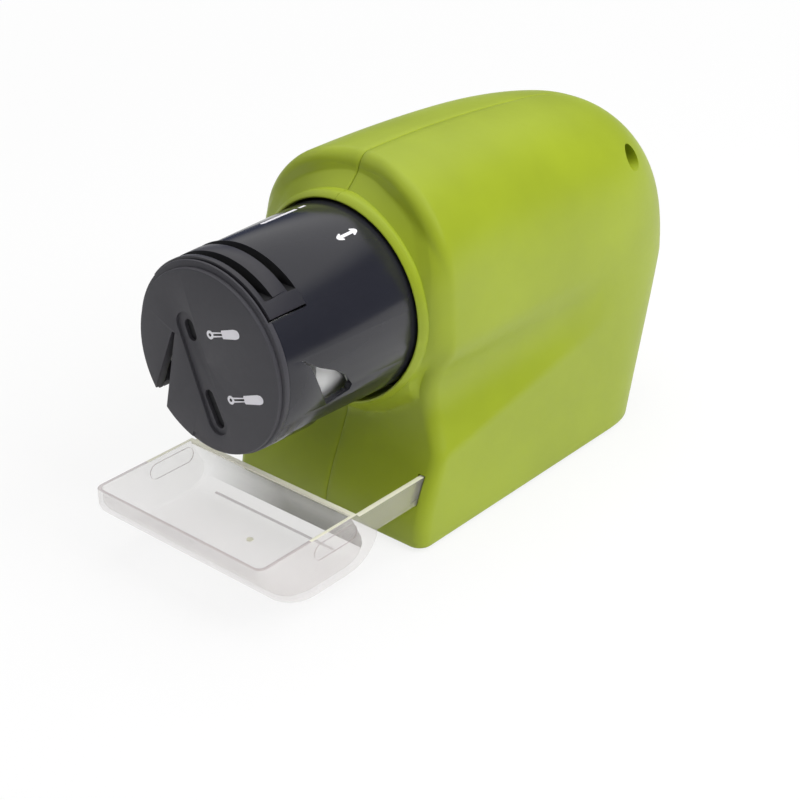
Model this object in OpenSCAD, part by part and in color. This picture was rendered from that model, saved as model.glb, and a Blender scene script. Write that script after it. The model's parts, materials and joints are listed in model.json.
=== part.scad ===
// Cordless electric knife sharpener: a two-part casing with a motor, a grinding wheel,
// a pull-off guide head and a pull-out filings tray. +Z is up, the head points to -Y,
// and the origin is on the table under the middle of the whole.

/* [Casing] */
// Length from the face of the head to the back of the casing
body_l = 145; // [139:1:152]
// Width of the casing at its base
body_w = 60; // [58:1:66]
// Height of the casing above its underside
body_h = 86; // [84:1:92]
// Width of the casing where the crown begins
crown_w = 57.4; // [56:0.2:58]
// Height above the underside at which the crown begins
crown_from = 41.4; // [40:0.2:44]
// Distance that the back of the casing overhangs its underside
overhang = 17; // [15:1:19]
// Thickness of the casing's walls
wall = 2.2; // [2:0.1:2.4]
// Radius of the rounding round the front of the casing
edge_r = 3.2; // [2.8:0.1:3.8]
// Drop of the ridge of the crown at the very back
crown_fall = 8; // [6:0.5:9]
// Distance that the foot of the front face stands ahead of it
toe = 10; // [8:0.5:10.5]
// Height over which the front face runs out to its foot
toe_h = 32; // [28:0.5:32]
// Distance that the front face leans back by its top
front_lean = 2.2; // [1.6:0.1:3]
// Depth of the grip hollow at the front of each flank
grip_deep = 5; // [3:0.25:5.5]

/* [Head] */
// Distance from the face of the head to the front of the casing
head_reach = 45; // [44:0.5:46]
// Height of the head's axis above the underside
axis_h = 53.2; // [52.6:0.1:54]
// Radius of the head at its face
head_r = 21.9; // [21.6:0.1:22.1]
// Radius of the head at its rear end
head_rear_r = 23.4; // [23.2:0.05:23.5]
// Thickness of the head's walls
head_wall = 1.6; // [1.4:0.1:1.7]
// Length of the head
head_l = 47.6; // [47:0.2:48.4]
// Distance that the collar stands ahead of the casing
collar_proud = 4.5; // [3:0.25:5]
// Width of each knife slot
slot_w = 2.3; // [1.8:0.1:2.4]

/* [Wheel and motor] */
// Radius of the grinding wheel
wheel_r = 18.2; // [17:0.1:18.6]
// Length of the grinding wheel
wheel_l = 9.2; // [8.6:0.1:9.4]
// Radius of the motor can
can_r = 13.85; // [13.4:0.05:14]
// Length of the motor can
can_l = 30.5; // [30:0.5:32]
// Radius of the motor shaft
shaft_r = 1.585; // [1.5:0.005:1.6]

/* [Filings tray] */
// Distance that the pulled-out tray stands ahead of the face of the head
tray_lead = 12.8; // [12:0.2:14]
// Width of the tray
tray_w = 52.4; // [52:0.1:52.6]
// Height of the tray's rim above the underside of the casing
tray_rim_h = 17.4; // [17:0.1:17.8]
// Height of the tray's underside above the underside of the casing
tray_low_h = 3.3; // [3:0.1:4]
// Thickness of the tray's walls
tray_wall = 1.4; // [1.2:0.1:1.5]
// Distance that the tray slides in
tray_travel = 12.5; // [9:0.5:12.5]

/* [Batteries and switch] */
// Diameter of a battery cell
cell_d = 14.3; // [14:0.1:14.5]
// Length of a battery cell over its contact nub
cell_l = 50.5; // [50:0.1:50.6]
// Radius of the power button
button_r = 8; // [7.6:0.1:8.2]
// Distance that the power button is pressed in
button_travel = 1.5; // [1.2:0.1:1.6]
// Distance that the rubber feet stand below the casing
foot_proud = 0.5; // [0.4:0.05:0.8]

/* [Hidden] */

// Colours
green = [0.63, 0.70, 0.18];
black = [0.16, 0.16, 0.17];
steel = [0.75, 0.76, 0.78];
bronze = [0.70, 0.48, 0.25];
copper = [0.78, 0.42, 0.22];
stone = [0.80, 0.80, 0.80];
clear = [0.88, 0.88, 0.90, 0.45];

// Overrun of every cut, and the gaps between pieces
over = 1;
gap = 0.3;
fit_gap = 0.05;
fine = 96;

// Main places: the nose is the face of the head, and base_z the underside of the casing
nose_y = -(body_l - tray_lead) / 2;
base_z = foot_proud;
axis_z = base_z + axis_h;
front_y = nose_y + head_reach;
base_l = body_l - overhang;
grip_end_share = 0.74;
peak_share = 0.43;

// Casing form: exponents of the rounded outlines, and how finely the surface is divided
plan_power = 3.7;
plan_top_power = 2.4;
crown_x_power = 2.7;
crown_z_power = 3;
crown_y_power = 3.8;
back_power = 1.12;
taper_share = 0.735;
taper_top_share = 0.62;
low_rows = 11;
top_rows = 14;
edge_cols = 4;
side_cols = 12;
back_cols = 12;
foot_edge = 0.8;
lean_from_share = 0.81;

// Grip hollow: heights of its middle and half its width, at the rear end and at the front
grip_mid_rear = 39;
grip_mid_front = 33.5;
grip_half_rear = 7;
grip_half_front = 12.5;
grip_fade = 0.8;

// Brow: the hollow over the head, where the front face dips back, and the fuller shoulders beside it
brow_deep = 2.2;
brow_from = 74;
brow_h = 12;
brow_half = 14;
brow_l = 20;
shoulder_out = 1.1;
shoulder_mid = 70;
shoulder_half = 16;
shoulder_run = 6;
shoulder_l = 30;

function mix(a, b, s) = a + (b - a) * s;
function clamp01(v) = min(max(v, 0), 1);
function smooth(v) = let (c = clamp01(v)) c * c * (3 - 2 * c);
function rise(v, p) = v <= 0 ? 0 : pow(v, p);

// Front face of the casing at a height above its underside
function front_at(h) = let (from = lean_from_share * body_h)
    front_y - toe * (1 - smooth(h / toe_h)) + front_lean * pow(clamp01((h - from) / (body_h - from)), 2);

// One level of the casing's surface, inset by t:
// [half width, height, back, start of the taper, plan power, normal x, normal z, crown share]
function level(k, t) =
    k < low_rows
        ? let (h = k / low_rows,
               edge = (k == 0 && t == 0) ? foot_edge : 0,
               back = nose_y + body_l - (body_l - base_l) * pow(1 - h, back_power))
          [mix(body_w, crown_w, h) / 2 - t - edge, base_z + h * crown_from, back - t - edge,
           nose_y + taper_share * body_l, plan_power, 1, 0, 0]
        : let (a = 90 * (k - low_rows) / top_rows,
               c = cos(a) < 0.0001 ? 0 : cos(a),
               s = sin(a),
               tall = body_h - crown_from - t,
               half = crown_w / 2 - t,
               gx = rise(c, 2 - 2 / crown_x_power) * tall,
               gz = rise(s, 2 - 2 / crown_z_power) * half,
               g = norm([gx, gz]),
               from = nose_y + taper_share * body_l)
          [half * rise(c, 2 / crown_x_power),
           base_z + crown_from + tall * rise(s, 2 / crown_z_power),
           from + (nose_y + body_l - t - from) * rise(c, 2 / crown_y_power),
           mix(from, nose_y + taper_top_share * body_l, s),
           mix(plan_power, plan_top_power, s), gx / g, gz / g, s];

// How much lower the ridge lies at a place along the casing
function fall_at(y) = let (peak = nose_y + peak_share * body_l)
    crown_fall * pow((y - peak) / (nose_y + body_l - peak), 2);

// How deep the grip hollow is at a place on the flank
function grip_at(y, z) =
    let (end = nose_y + grip_end_share * body_l,
         s = clamp01((end - y) / (end - front_y)),
         v = (z - base_z - mix(grip_mid_rear, grip_mid_front, s))
             / mix(grip_half_rear, grip_half_front, s))
    abs(v) >= 1 ? 0 : grip_deep * pow(s, grip_fade) * pow(1 - v * v, 2);

// How far the front dips back, and how far the shoulders stand out
function brow_at(x, y, z) = brow_deep * smooth((z - base_z - brow_from) / brow_h)
    * pow(1 - clamp01(x / brow_half) * clamp01(x / brow_half), 2) * (1 - smooth((y - front_y) / brow_l));
function shoulder_at(x, y, z) = let (v = min(abs(z - base_z - shoulder_mid) / shoulder_half, 1))
    shoulder_out * clamp01(x / shoulder_run) * pow(1 - v * v, 2) * (1 - smooth((y - front_y) / shoulder_l));

// A point of the surface from its level and its undented place
function dented(lv, x, y, z) =
    [max(x - grip_at(y, z) * lv[5] + shoulder_at(x, y, z), 0), y + brow_at(x, y, z), z - lv[7] * fall_at(y)];

// Points of one level: the middle of the front face, the rounded edge, the flank, the back
function level_points(k, t) =
    let (lv = level(k, t),
         r = edge_r - t,
         edge = (k == 0 && t == 0) ? foot_edge : 0,
         f = front_at(lv[1] - base_z - r * lv[6]) + t + edge)
    concat(
        [dented(lv, 0, f, lv[1] - r * lv[6])],
        [for (i = [0:edge_cols - 1]) let (a = 90 * i / edge_cols, q = r * (1 - sin(a)))
            dented(lv, max(lv[0] - q * lv[5], 0), f + r * (1 - cos(a)), lv[1] - q * lv[6])],
        [for (i = [0:side_cols - 1])
            dented(lv, lv[0], mix(f + r, lv[3], i / side_cols), lv[1])],
        [for (i = [0:back_cols]) let (a = 90 * i / back_cols, c = i == back_cols ? 0 : cos(a))
            dented(lv, lv[0] * rise(c, 2 / lv[4]),
                lv[3] + (lv[2] - lv[3]) * rise(sin(a), 2 / lv[4]), lv[1])]);

rows = low_rows + top_rows;
cols = edge_cols + side_cols + back_cols + 1;

// Faces of the half casing: outer skin, inner skin, and the rim that joins them
function at(k, j) = k * (cols + 1) + ((k == rows && j == 0) ? 1 : j);
inner_from = (rows + 1) * (cols + 1);
function rim() = concat(
    [for (k = [0:rows]) at(k, 0)],
    [for (j = [2:cols - 1]) at(rows, j)],
    [for (k = [rows:-1:0]) at(k, cols)],
    [for (j = [cols - 1:-1:1]) at(0, j)]);
function skin(step, flip) = [for (k = [0:rows - 1]) for (j = [0:cols - 1])
    for (f = [[at(k, j), at(k, j + 1), at(k + 1, j + 1)], [at(k, j), at(k + 1, j + 1), at(k + 1, j)]])
        if (f[0] != f[1] && f[1] != f[2] && f[2] != f[0])
            flip ? [f[0] + step, f[2] + step, f[1] + step] : [f[0] + step, f[1] + step, f[2] + step]];
function rim_faces() = let (r = rim(), n = len(r)) [for (i = [0:n - 1])
    let (a = r[i], b = r[(i + 1) % n])
    for (f = [[a, b, b + inner_from], [a, b + inner_from, a + inner_from]]) f];

module half_casing() {
    polyhedron(
        points = concat([for (k = [0:rows]) each level_points(k, 0)],
            [for (k = [0:rows]) each level_points(k, wall)]),
        faces = concat(skin(0, true), skin(inner_from, false), rim_faces()), convexity = 8);
}

// A cylinder along +Y from y0 to y1, on the head's axis unless moved
module rod_y(r, y0, y1, x = 0, z = axis_z, r2 = -1) {
    translate([x, y0, z]) rotate([-90, 0, 0])
        cylinder(h = y1 - y0, r1 = r, r2 = r2 < 0 ? r : r2, $fn = fine);
}

// A ring along +Y
module ring_y(r_out, r_in, y0, y1, z = axis_z) {
    difference() {
        rod_y(r_out, y0, y1, 0, z);
        rod_y(r_in, y0 - over, y1 + over, 0, z);
    }
}

// A wire of radius r swept along places, with side as a direction that it never runs along
wire_sides = 8;
function unit(v) = v / norm(v);
function wire_ring(p, i, r, side) =
    let (d = unit(p[min(i + 1, len(p) - 1)] - p[max(i - 1, 0)]), u = unit(cross(d, side)), v = cross(d, u))
    [for (q = [0:wire_sides - 1]) let (a = 360 * q / wire_sides) p[i] + r * (cos(a) * u + sin(a) * v)];
module wire(p, r, side) {
    n = len(p);
    m = wire_sides;
    polyhedron(
        points = [for (i = [0:n - 1]) each wire_ring(p, i, r, side)],
        faces = concat([[for (q = [0:m - 1]) q]],
            [for (i = [0:n - 2]) for (q = [0:m - 1]) let (r = (q + 1) % m)
                each [[i * m + q, (i + 1) * m + q, (i + 1) * m + r],
                    [i * m + q, (i + 1) * m + r, i * m + r]]],
            [[for (q = [m - 1:-1:0]) (n - 1) * m + q]]), convexity = 6);
}

// A block from its two corners
module block(a, b) {
    translate([min(a[0], b[0]), min(a[1], b[1]), min(a[2], b[2])])
        cube([abs(b[0] - a[0]), abs(b[1] - a[1]), abs(b[2] - a[2])]);
}

// Head's bore in the casing, and its collar
mouth_r = head_rear_r + gap;
collar_wall = 1.5;
collar_root = 3.2;
collar_edge = 0.4;
collar_bevel = 1.5;
module collar_half() {
    lip = front_y - collar_proud;
    root = front_y + collar_root;
    outer = mouth_r + collar_wall;
    difference() {
        translate([0, 0, axis_z]) rotate([-90, 0, 0]) rotate_extrude($fn = fine)
            polygon([[mouth_r, lip], [mouth_r + collar_edge, lip], [outer, lip + collar_bevel],
                [outer, root], [mouth_r, root]]);
        translate([-mouth_r * 2, lip - over, 0])
            cube([mouth_r * 2, collar_proud + collar_root + over * 2, body_h + over]);
    }
}

// Battery pack: two cells wide and two high, over the door
cell_step = cell_d + gap;
door_t = 2;
base_t = 2.4;
box_wall = 1.6;
spring_room = 3;
plate_room = 1;
box_end = 3.9;
box_back = nose_y + base_l - box_end;
cell_y = box_back - box_wall - plate_room - cell_l;
box_front = cell_y - spring_room - box_wall;
box_half = cell_step + box_wall + gap / 2;
box_low = base_z + base_t + gap;
cell_low_z = base_z + door_t + gap + cell_step / 2;
cell_high_z = cell_low_z + cell_step;
box_top = cell_high_z + cell_step / 2 + box_wall;

// Battery door: a plate with side tongues that run in the base plate's grooves
door_half = box_half - box_wall + gap;
door_lap = 1.9;
door_front = box_front - door_lap;
door_back = nose_y + base_l - foot_edge;
tongue = 1;
tongue_t = 0.7;
tongue_low = 0.8;
door_rib_w = 0.8;
door_rib_h = 0.3;
door_rib_step = 2.2;
door_ribs = 5;

// Screws and their bosses
boss_r = 3.6;
pilot_r = 1.1;
thread_r = 1.25;
thread_gap = 0.15;
head_screw_r = 2.5;
head_screw_t = 1.1;
base_screw_l = 7;
case_screw_l = 14;
case_seat_x = 10;
case_boss_r = 4.1;
case_hole_r = 3;
case_boss_l = 25;
case_plane_in = 8.4;
case_plane_x = body_w / 2 - case_plane_in;
case_tilt_angle = 32;
case_turn_angle = 17;
case_from_back = 21;
case_from_top = 16.8;
case_y = nose_y + body_l - case_from_back;
case_z = base_z + body_h - case_from_top;
front_boss_in = 9;
front_boss_back = 2;
rear_boss_in = 9.4;
rear_boss_from_end = 11;
front_boss = [body_w / 2 - front_boss_in, front_y + front_boss_back];
rear_boss = [body_w / 2 - rear_boss_in, nose_y + base_l - rear_boss_from_end];
boss_places = [front_boss, rear_boss];
boss_h = 9;
boss_top = base_z + boss_h;
foot_r = 3.6;
foot_t = 1.3;
foot_in = 7.6;
front_foot_back = 13;
rear_foot_from_end = 22;
foot_x = body_w / 2 - foot_in;
foot_places = [[foot_x, front_y + front_foot_back], [foot_x, nose_y + base_l - rear_foot_from_end]];
drive_slot_w = 0.6;
drive_slot_d = 0.5;

// Tray arms and the slots and rails that carry them
arm_t = 1.5;
arm_low_h = 10;
arm_low = base_z + arm_low_h;
arm_high = base_z + tray_rim_h - gap;
arm_x = tray_w / 2;
arm_in = 1.6;
arm_back = front_y + arm_in;
hook_l = 2.4;
hook_t = 1.4;
rail_t = 1;
rail_spare = 3;
rail_l = tray_travel + rail_spare;
rail_in = 0.5;
rail_front = front_y + rail_in;

// Power button, on the left flank
button_from_front = 21;
button_y = front_y + button_from_front;
button_h = 56;
button_z = base_z + button_h;
button_sunk = 0.4;
button_l = 5.2;
button_out_x = body_w / 2 - button_sunk;
button_lip = 1.3;
button_flange_r = button_r + button_lip;
button_flange_t = 1.2;
flange_x = button_out_x - button_l;
button_ring_l = 1.8;
stem_r = 2.2;
stem_l = 3.5;
stem_end_x = flange_x - stem_l;
button_dish = 0.7;
button_dish_r = 40;
plunger_r = 1.5;
plunger_l = 3;
contact_gap = 0.1;
stop_gap = 0.2;
switch_x = stem_end_x - button_travel - stop_gap;
switch_deep = 4.4;
switch_w = 7.6;
switch_tall = 20;
post_t = 1.5;
low_post_l = 7.6;
high_post_l = 6;
posts = [[-switch_tall / 2 - gap - post_t, switch_x + low_post_l],
    [switch_tall / 2 + gap, switch_x + high_post_l]];
spring_r = 3.3;
spring_wire_r = 0.3;
spring_turns = 4;
turn_steps = 14;

// Right half of the casing, and the same form mirrored for the left
module shell_form(side) {
    mirror([side < 0 ? 1 : 0, 0, 0]) difference() {
        union() {
            half_casing();
            collar_half();
            for (p = boss_places) {
                translate([p[0], p[1], base_z + base_t + gap])
                    cylinder(h = boss_top - base_z - base_t - gap, r = boss_r, $fn = fine);
                block([p[0], p[1] - boss_r / 2, base_z + base_t + gap],
                    [body_w / 2 - wall, p[1] + boss_r / 2, boss_top]);
            }
            for (z = [arm_low - gap - rail_t, arm_high + gap])
                block([arm_x - arm_t, rail_front + wall, z],
                    [body_w / 2 - wall, rail_front + rail_l, z + rail_t]);
            difference() {
                translate([0, case_y, case_z]) rotate([0, 90, 0])
                    cylinder(h = case_boss_l, r = case_boss_r, $fn = fine);
                translate([case_plane_x, case_y, case_z]) rotate([0, -case_tilt_angle, case_turn_angle])
                    translate([0, -case_boss_l, -case_boss_l]) cube(2 * case_boss_l);
            }
            if (side < 0) {
                for (p = posts)
                    block([switch_x - switch_deep, button_y - switch_w / 2, button_z + p[0]],
                        [p[1], button_y + switch_w / 2, button_z + p[0] + post_t]);
                translate([flange_x + contact_gap, button_y, button_z]) rotate([0, 90, 0])
                    cylinder(h = button_ring_l - contact_gap, r = button_flange_r + gap * 2, $fn = fine);
            }
        }
        rod_y(mouth_r, front_y - over, front_y + front_lean + wall);
        block([arm_x - arm_t - gap, front_y - toe, arm_low - gap],
            [arm_x + gap, front_y + wall + over, arm_high + gap]);
        block([-over, box_back, base_z - over], [door_half + gap, nose_y + body_l, base_z + door_t + gap]);
        block([-over, box_back, base_z + tongue_low - gap],
            [door_half + tongue + gap, nose_y + body_l, base_z + door_t + gap]);
        for (p = boss_places)
            translate([p[0], p[1], base_z])
                cylinder(h = boss_top - base_z - over, r = pilot_r, $fn = fine);
        if (side > 0) {
            translate([-over, case_y, case_z]) rotate([0, 90, 0])
                cylinder(h = body_w, r = thread_r + thread_gap, $fn = fine);
            translate([case_seat_x, case_y, case_z]) rotate([0, 90, 0])
                cylinder(h = body_w, r = case_hole_r, $fn = fine);
        }
        if (side < 0) {
            translate([-over, case_y, case_z]) rotate([0, 90, 0])
                cylinder(h = case_screw_l - case_seat_x + over * 2, r = pilot_r, $fn = fine);
            translate([flange_x - over, button_y, button_z]) rotate([0, 90, 0])
                cylinder(h = body_w, r = button_r + gap, $fn = fine);
        }
    }
}

module right_shell() { color(green) shell_form(1); }
module left_shell() { color(green) shell_form(-1); }

// Base plate: follows the inside of the shells, with a bay for the door that is open behind
module base_outline() {
    lv = level_points(0, wall + gap);
    half = [for (j = [0:cols]) [lv[j][0], lv[j][1]]];
    polygon(concat(half, [for (j = [cols - 1:-1:1]) [-half[j][0], half[j][1]]]));
}
module base_plate() {
    color(green) difference() {
        translate([0, 0, base_z]) linear_extrude(base_t) base_outline();
        block([-door_half - gap, door_front - gap, base_z - over],
            [door_half + gap, nose_y + body_l, base_z + base_t + over]);
        block([-door_half - tongue - gap, door_front - gap, base_z + tongue_low - gap],
            [door_half + tongue + gap, nose_y + body_l, base_z + tongue_low + tongue_t + gap]);
        for (s = [-1, 1]) for (p = boss_places) {
            translate([s * p[0], p[1], base_z - over])
                cylinder(h = base_t + over * 2, r = thread_r + thread_gap, $fn = fine);
            translate([s * p[0], p[1], base_z - over])
                cylinder(h = head_screw_t + over, r = head_screw_r + thread_gap, $fn = fine);
        }
        for (s = [-1, 1]) for (p = foot_places)
            translate([s * p[0], p[1], base_z - over])
                cylinder(h = foot_t - foot_proud + over, r = foot_r, $fn = fine);
    }
}

module rubber_feet() {
    color(black) for (s = [-1, 1]) for (p = foot_places)
        translate([s * p[0], p[1], base_z - foot_proud]) cylinder(h = foot_t, r = foot_r, $fn = fine);
}

module battery_door() {
    color(green) {
        block([-door_half, door_front, base_z], [door_half, door_back, base_z + door_t]);
        block([-door_half - tongue, door_front, base_z + tongue_low],
            [door_half + tongue, door_back, base_z + tongue_low + tongue_t]);
        for (i = [1:door_ribs])
            block([-door_half / 2, door_back - i * door_rib_step - door_rib_w, base_z - door_rib_h],
                [door_half / 2, door_back - i * door_rib_step, base_z]);
    }
}

module battery_box() {
    color(black) difference() {
        block([-box_half, box_front, box_low], [box_half, box_back, box_top]);
        block([-box_half + box_wall, box_front + box_wall, box_low - over],
            [box_half - box_wall, box_back - box_wall, box_top - box_wall]);
    }
}

// Cells lie along Y, in alternate directions
nub_r = 2.6;
nub_l = 1.2;
cell_places = [[-1, cell_low_z, 1], [1, cell_low_z, -1], [-1, cell_high_z, -1], [1, cell_high_z, 1]];
module battery_cells() {
    for (c = cell_places) {
        x = c[0] * cell_step / 2;
        body_y = c[2] > 0 ? cell_y : cell_y + nub_l;
        color(steel) union() {
            rod_y(cell_d / 2, body_y, body_y + cell_l - nub_l, x, c[1]);
            if (c[2] > 0) rod_y(nub_r, body_y, cell_y + cell_l, x, c[1]);
            else rod_y(nub_r, cell_y, body_y + cell_l - nub_l, x, c[1]);
        }
    }
}

// Contact springs, pressed by the cells, and the plates behind them and at the far end
contact_t = 0.4;
coil_big_r = 4.2;
coil_small_r = 2.2;
coil_wire_r = 0.35;
coil_turns = 2;
module battery_springs() {
    y0 = box_front + box_wall + contact_t + coil_wire_r;
    y1 = cell_y - contact_gap - coil_wire_r;
    steps = coil_turns * turn_steps;
    color(steel) for (c = cell_places)
        wire([for (i = [0:steps])
            let (s = i / steps, a = 360 * i / turn_steps, r = mix(coil_big_r, coil_small_r, s))
            [c[0] * cell_step / 2 + r * cos(a), mix(y0, y1, s), c[1] + r * sin(a)]], coil_wire_r, [0, 1, 0]);
}
module contact_plates() {
    far_y = cell_y + cell_l + contact_gap;
    plate = cell_d / 3;
    color(steel) {
        for (s = [-1, 1])
            block([s * (cell_step / 2 - plate), box_front + box_wall, cell_low_z - plate],
                [s * (cell_step / 2 + plate), box_front + box_wall + contact_t, cell_high_z + plate]);
        for (z = [cell_low_z, cell_high_z])
            block([-cell_step / 2 - plate, box_back - box_wall - contact_t, z - plate],
                [cell_step / 2 + plate, box_back - box_wall, z + plate]);
        for (s = [-1, 1]) for (z = [cell_low_z, cell_high_z])
            rod_y(nub_r, far_y, box_back - box_wall - contact_t, s * cell_step / 2, z);
    }
}

// Motor mount: a bulkhead that fills the casing's section, with a sleeve for the head
mount_in = 5;
mount_front = front_y + mount_in;
mount_t = 2.5;
mount_low_h = 29;
mount_low = base_z + mount_low_h;
mount_from_top = 9.2;
mount_top = base_z + body_h - mount_from_top;
sleeve_gap = 0.35;
sleeve_r = head_rear_r - head_wall - sleeve_gap;
sleeve_wall = 1.5;
sleeve_reach = 2.6;
sleeve_front = front_y - sleeve_reach;
can_front = mount_front + mount_t;
nose_boss_r = 5;
nose_boss_l = 2;
motor_screw_r = 1.45;
motor_screw_step = 8;
motor_screw_l = 4.4;
function section_points(t, y) = [for (k = [1:rows]) let (lv = level(k, t), p = dented(lv, lv[0], y, lv[1]))
    if (p[2] > mount_low && p[2] < mount_top) [p[0], p[2]]];
module motor_mount() {
    half = section_points(wall + gap, mount_front);
    n = len(half);
    color(black) difference() {
        union() {
            translate([0, mount_front + mount_t, 0]) rotate([90, 0, 0]) linear_extrude(mount_t)
                polygon(concat([[0, mount_low], [half[0][0], mount_low]], half,
                    [[half[n - 1][0], mount_top], [-half[n - 1][0], mount_top]],
                    [for (i = [n - 1:-1:0]) [-half[i][0], half[i][1]]], [[-half[0][0], mount_low]]));
            rod_y(sleeve_r, sleeve_front, mount_front + mount_t / 2);
        }
        rod_y(sleeve_r - sleeve_wall, sleeve_front - over, mount_front);
        rod_y(nose_boss_r + gap, mount_front - over, can_front + over);
        for (s = [-1, 1])
            rod_y(motor_screw_r + gap, mount_front - over, can_front + over, s * motor_screw_step);
    }
}

// Motor: the can with its nose boss, magnets, bushes, end cap, brushes and terminals
can_wall = 1;
can_back = can_front + can_l;
bush_r = 3.6;
bush_l = 3;
cap_l = 4.2;
cap_back = can_back + cap_l;
module motor_can() {
    color(steel) difference() {
        union() {
            rod_y(can_r, can_front, can_back);
            rod_y(nose_boss_r, can_front - nose_boss_l, can_front + can_wall);
        }
        rod_y(can_r - can_wall, can_front + can_wall, can_back + over);
        rod_y(bush_r, can_front - nose_boss_l - over, can_front + can_wall + over);
        for (s = [-1, 1])
            rod_y(motor_screw_r, can_front - over, can_front + can_wall + over, s * motor_screw_step);
    }
}
module motor_end_cap() {
    color(black) difference() {
        union() {
            rod_y(can_r - can_wall - gap, can_back - can_wall * 2, can_back);
            rod_y(can_r, can_back, cap_back);
        }
        rod_y(can_r - can_wall * 2.5, can_back - can_wall * 2 - over, can_back + can_wall);
        rod_y(bush_r, cap_back - bush_l, cap_back + over);
        rod_y(shaft_r + gap, can_back, cap_back);
    }
}
magnet_t = 2.6;
magnet_from = 4;
magnet_to = 6;
magnet_front = can_front + magnet_from;
magnet_back = can_back - magnet_to;
magnet_cut_share = 0.5;
module motor_magnets() {
    r = can_r - can_wall;
    color([0.25, 0.25, 0.27]) difference() {
        ring_y(r, r - magnet_t, magnet_front, magnet_back);
        for (s = [-1, 1])
            block([-r * magnet_cut_share, magnet_front - over, axis_z],
                [r * magnet_cut_share, magnet_back + over, axis_z + s * (r + over)]);
    }
}
module front_bush() {
    y0 = can_front - nose_boss_l;
    color(bronze) ring_y(bush_r, shaft_r + fit_gap, y0, y0 + bush_l);
}
module rear_bush() {
    color(bronze) ring_y(bush_r, shaft_r + fit_gap, cap_back - bush_l, cap_back);
}
commutator_r = 3;
commutator_l = 4;
commutator_y = can_back - commutator_l;
brush_t = 0.8;
brush_w = 2.4;
module brushes() {
    color(copper) for (s = [-1, 1])
        block([s * (commutator_r + contact_gap), commutator_y + contact_gap, axis_z - brush_w / 2],
            [s * (commutator_r + contact_gap + brush_t), can_back + can_wall, axis_z + brush_w / 2]);
}
terminal_w = 2.8;
terminal_l = 4;
terminal_x = 7.5;
module motor_terminals() {
    color(steel) for (s = [-1, 1])
        block([s * terminal_x, cap_back, axis_z - terminal_w / 2],
            [s * (terminal_x + contact_t), cap_back + terminal_l, axis_z + terminal_w / 2]);
}
module motor_screws() {
    color(steel) for (s = [-1, 1]) difference() {
        union() {
            rod_y(motor_screw_r - fit_gap, mount_front, mount_front + motor_screw_l, s * motor_screw_step);
            rod_y(head_screw_r, mount_front - head_screw_t, mount_front, s * motor_screw_step);
        }
        block([s * motor_screw_step - drive_slot_w / 2, mount_front - head_screw_t - over,
            axis_z - head_screw_r],
            [s * motor_screw_step + drive_slot_w / 2, mount_front - head_screw_t + drive_slot_d,
             axis_z + head_screw_r]);
    }
}

// Turning parts: shaft, armature, commutator, wheel carrier, wheel and its screw
wheel_in = 3.15;
wheel_front = nose_y + wheel_in;
hub_in = 1.8;
hub_front = wheel_front + hub_in;
hub_r = 5.8;
shaft_in = 1.2;
shaft_front = hub_front + shaft_in;
wheel_thread_r = 0.85;
wheel_thread_l = 3;
wheel_head_r = 2.7;
wheel_head_t = 1;
air_gap = 0.9;
core_from = 2;
core_to = 3;
core_r = can_r - can_wall - magnet_t - air_gap;
core_front = magnet_front + core_from;
core_back = commutator_y - core_to;
core_slot_w = 4.2;
core_hub_r = 3.6;
module motor_shaft() {
    color(steel) difference() {
        rod_y(shaft_r, shaft_front, cap_back);
        rod_y(wheel_thread_r + fit_gap, shaft_front - over, shaft_front + wheel_thread_l);
    }
}
module armature_core() {
    color(steel) difference() {
        rod_y(core_r, core_front, core_back);
        rod_y(shaft_r, core_front - over, core_back + over);
        for (a = [60, 180, 300]) translate([0, 0, axis_z]) rotate([0, a, 0])
            block([-core_slot_w / 2, core_front - over, core_hub_r],
                [core_slot_w / 2, core_back + over, core_r + over]);
    }
}
winding_out = 1.2;
module armature_windings() {
    color(copper) for (a = [60, 180, 300]) translate([0, 0, axis_z]) rotate([0, a, 0])
        block([-core_slot_w / 2 + gap / 2, core_front - winding_out, core_hub_r + gap],
            [core_slot_w / 2 - gap / 2, core_back + winding_out, core_r - gap]);
}
module commutator() {
    color(copper) ring_y(commutator_r, shaft_r, commutator_y, can_back - contact_gap * 2);
}
carrier_disc_l = 14;
carrier_pocket_r = 15.4;
carrier_web = 2.4;
module wheel_carrier() {
    disc_y = wheel_front + wheel_l;
    color(stone) difference() {
        union() {
            rod_y(hub_r, hub_front, disc_y + carrier_disc_l);
            rod_y(wheel_r - gap, disc_y, disc_y + carrier_disc_l);
        }
        ring_y(carrier_pocket_r, hub_r, disc_y + carrier_web, disc_y + carrier_disc_l + over);
        rod_y(shaft_r, shaft_front, disc_y + carrier_disc_l + over);
        rod_y(wheel_thread_r + fit_gap, hub_front - over, shaft_front + over);
    }
}
wheel_bevel = 2;
bevel_r = wheel_r - wheel_bevel;
wheel_rim_l = 4.4;
module grinding_wheel() {
    side = (wheel_l - wheel_rim_l) / 2;
    color(stone) translate([0, wheel_front, axis_z]) rotate([-90, 0, 0]) rotate_extrude($fn = fine)
        polygon([[hub_r, 0], [bevel_r, 0], [wheel_r, side], [wheel_r, side + wheel_rim_l],
            [bevel_r, wheel_l], [hub_r, wheel_l]]);
}
module wheel_screw() {
    color(steel) difference() {
        union() {
            rod_y(wheel_thread_r, hub_front, shaft_front + wheel_thread_l - gap);
            rod_y(wheel_head_r, hub_front - wheel_head_t, hub_front);
        }
        block([-drive_slot_w / 2, hub_front - wheel_head_t - over, axis_z - wheel_head_r],
            [drive_slot_w / 2, hub_front - wheel_head_t + drive_slot_d, axis_z + wheel_head_r]);
    }
}

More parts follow.
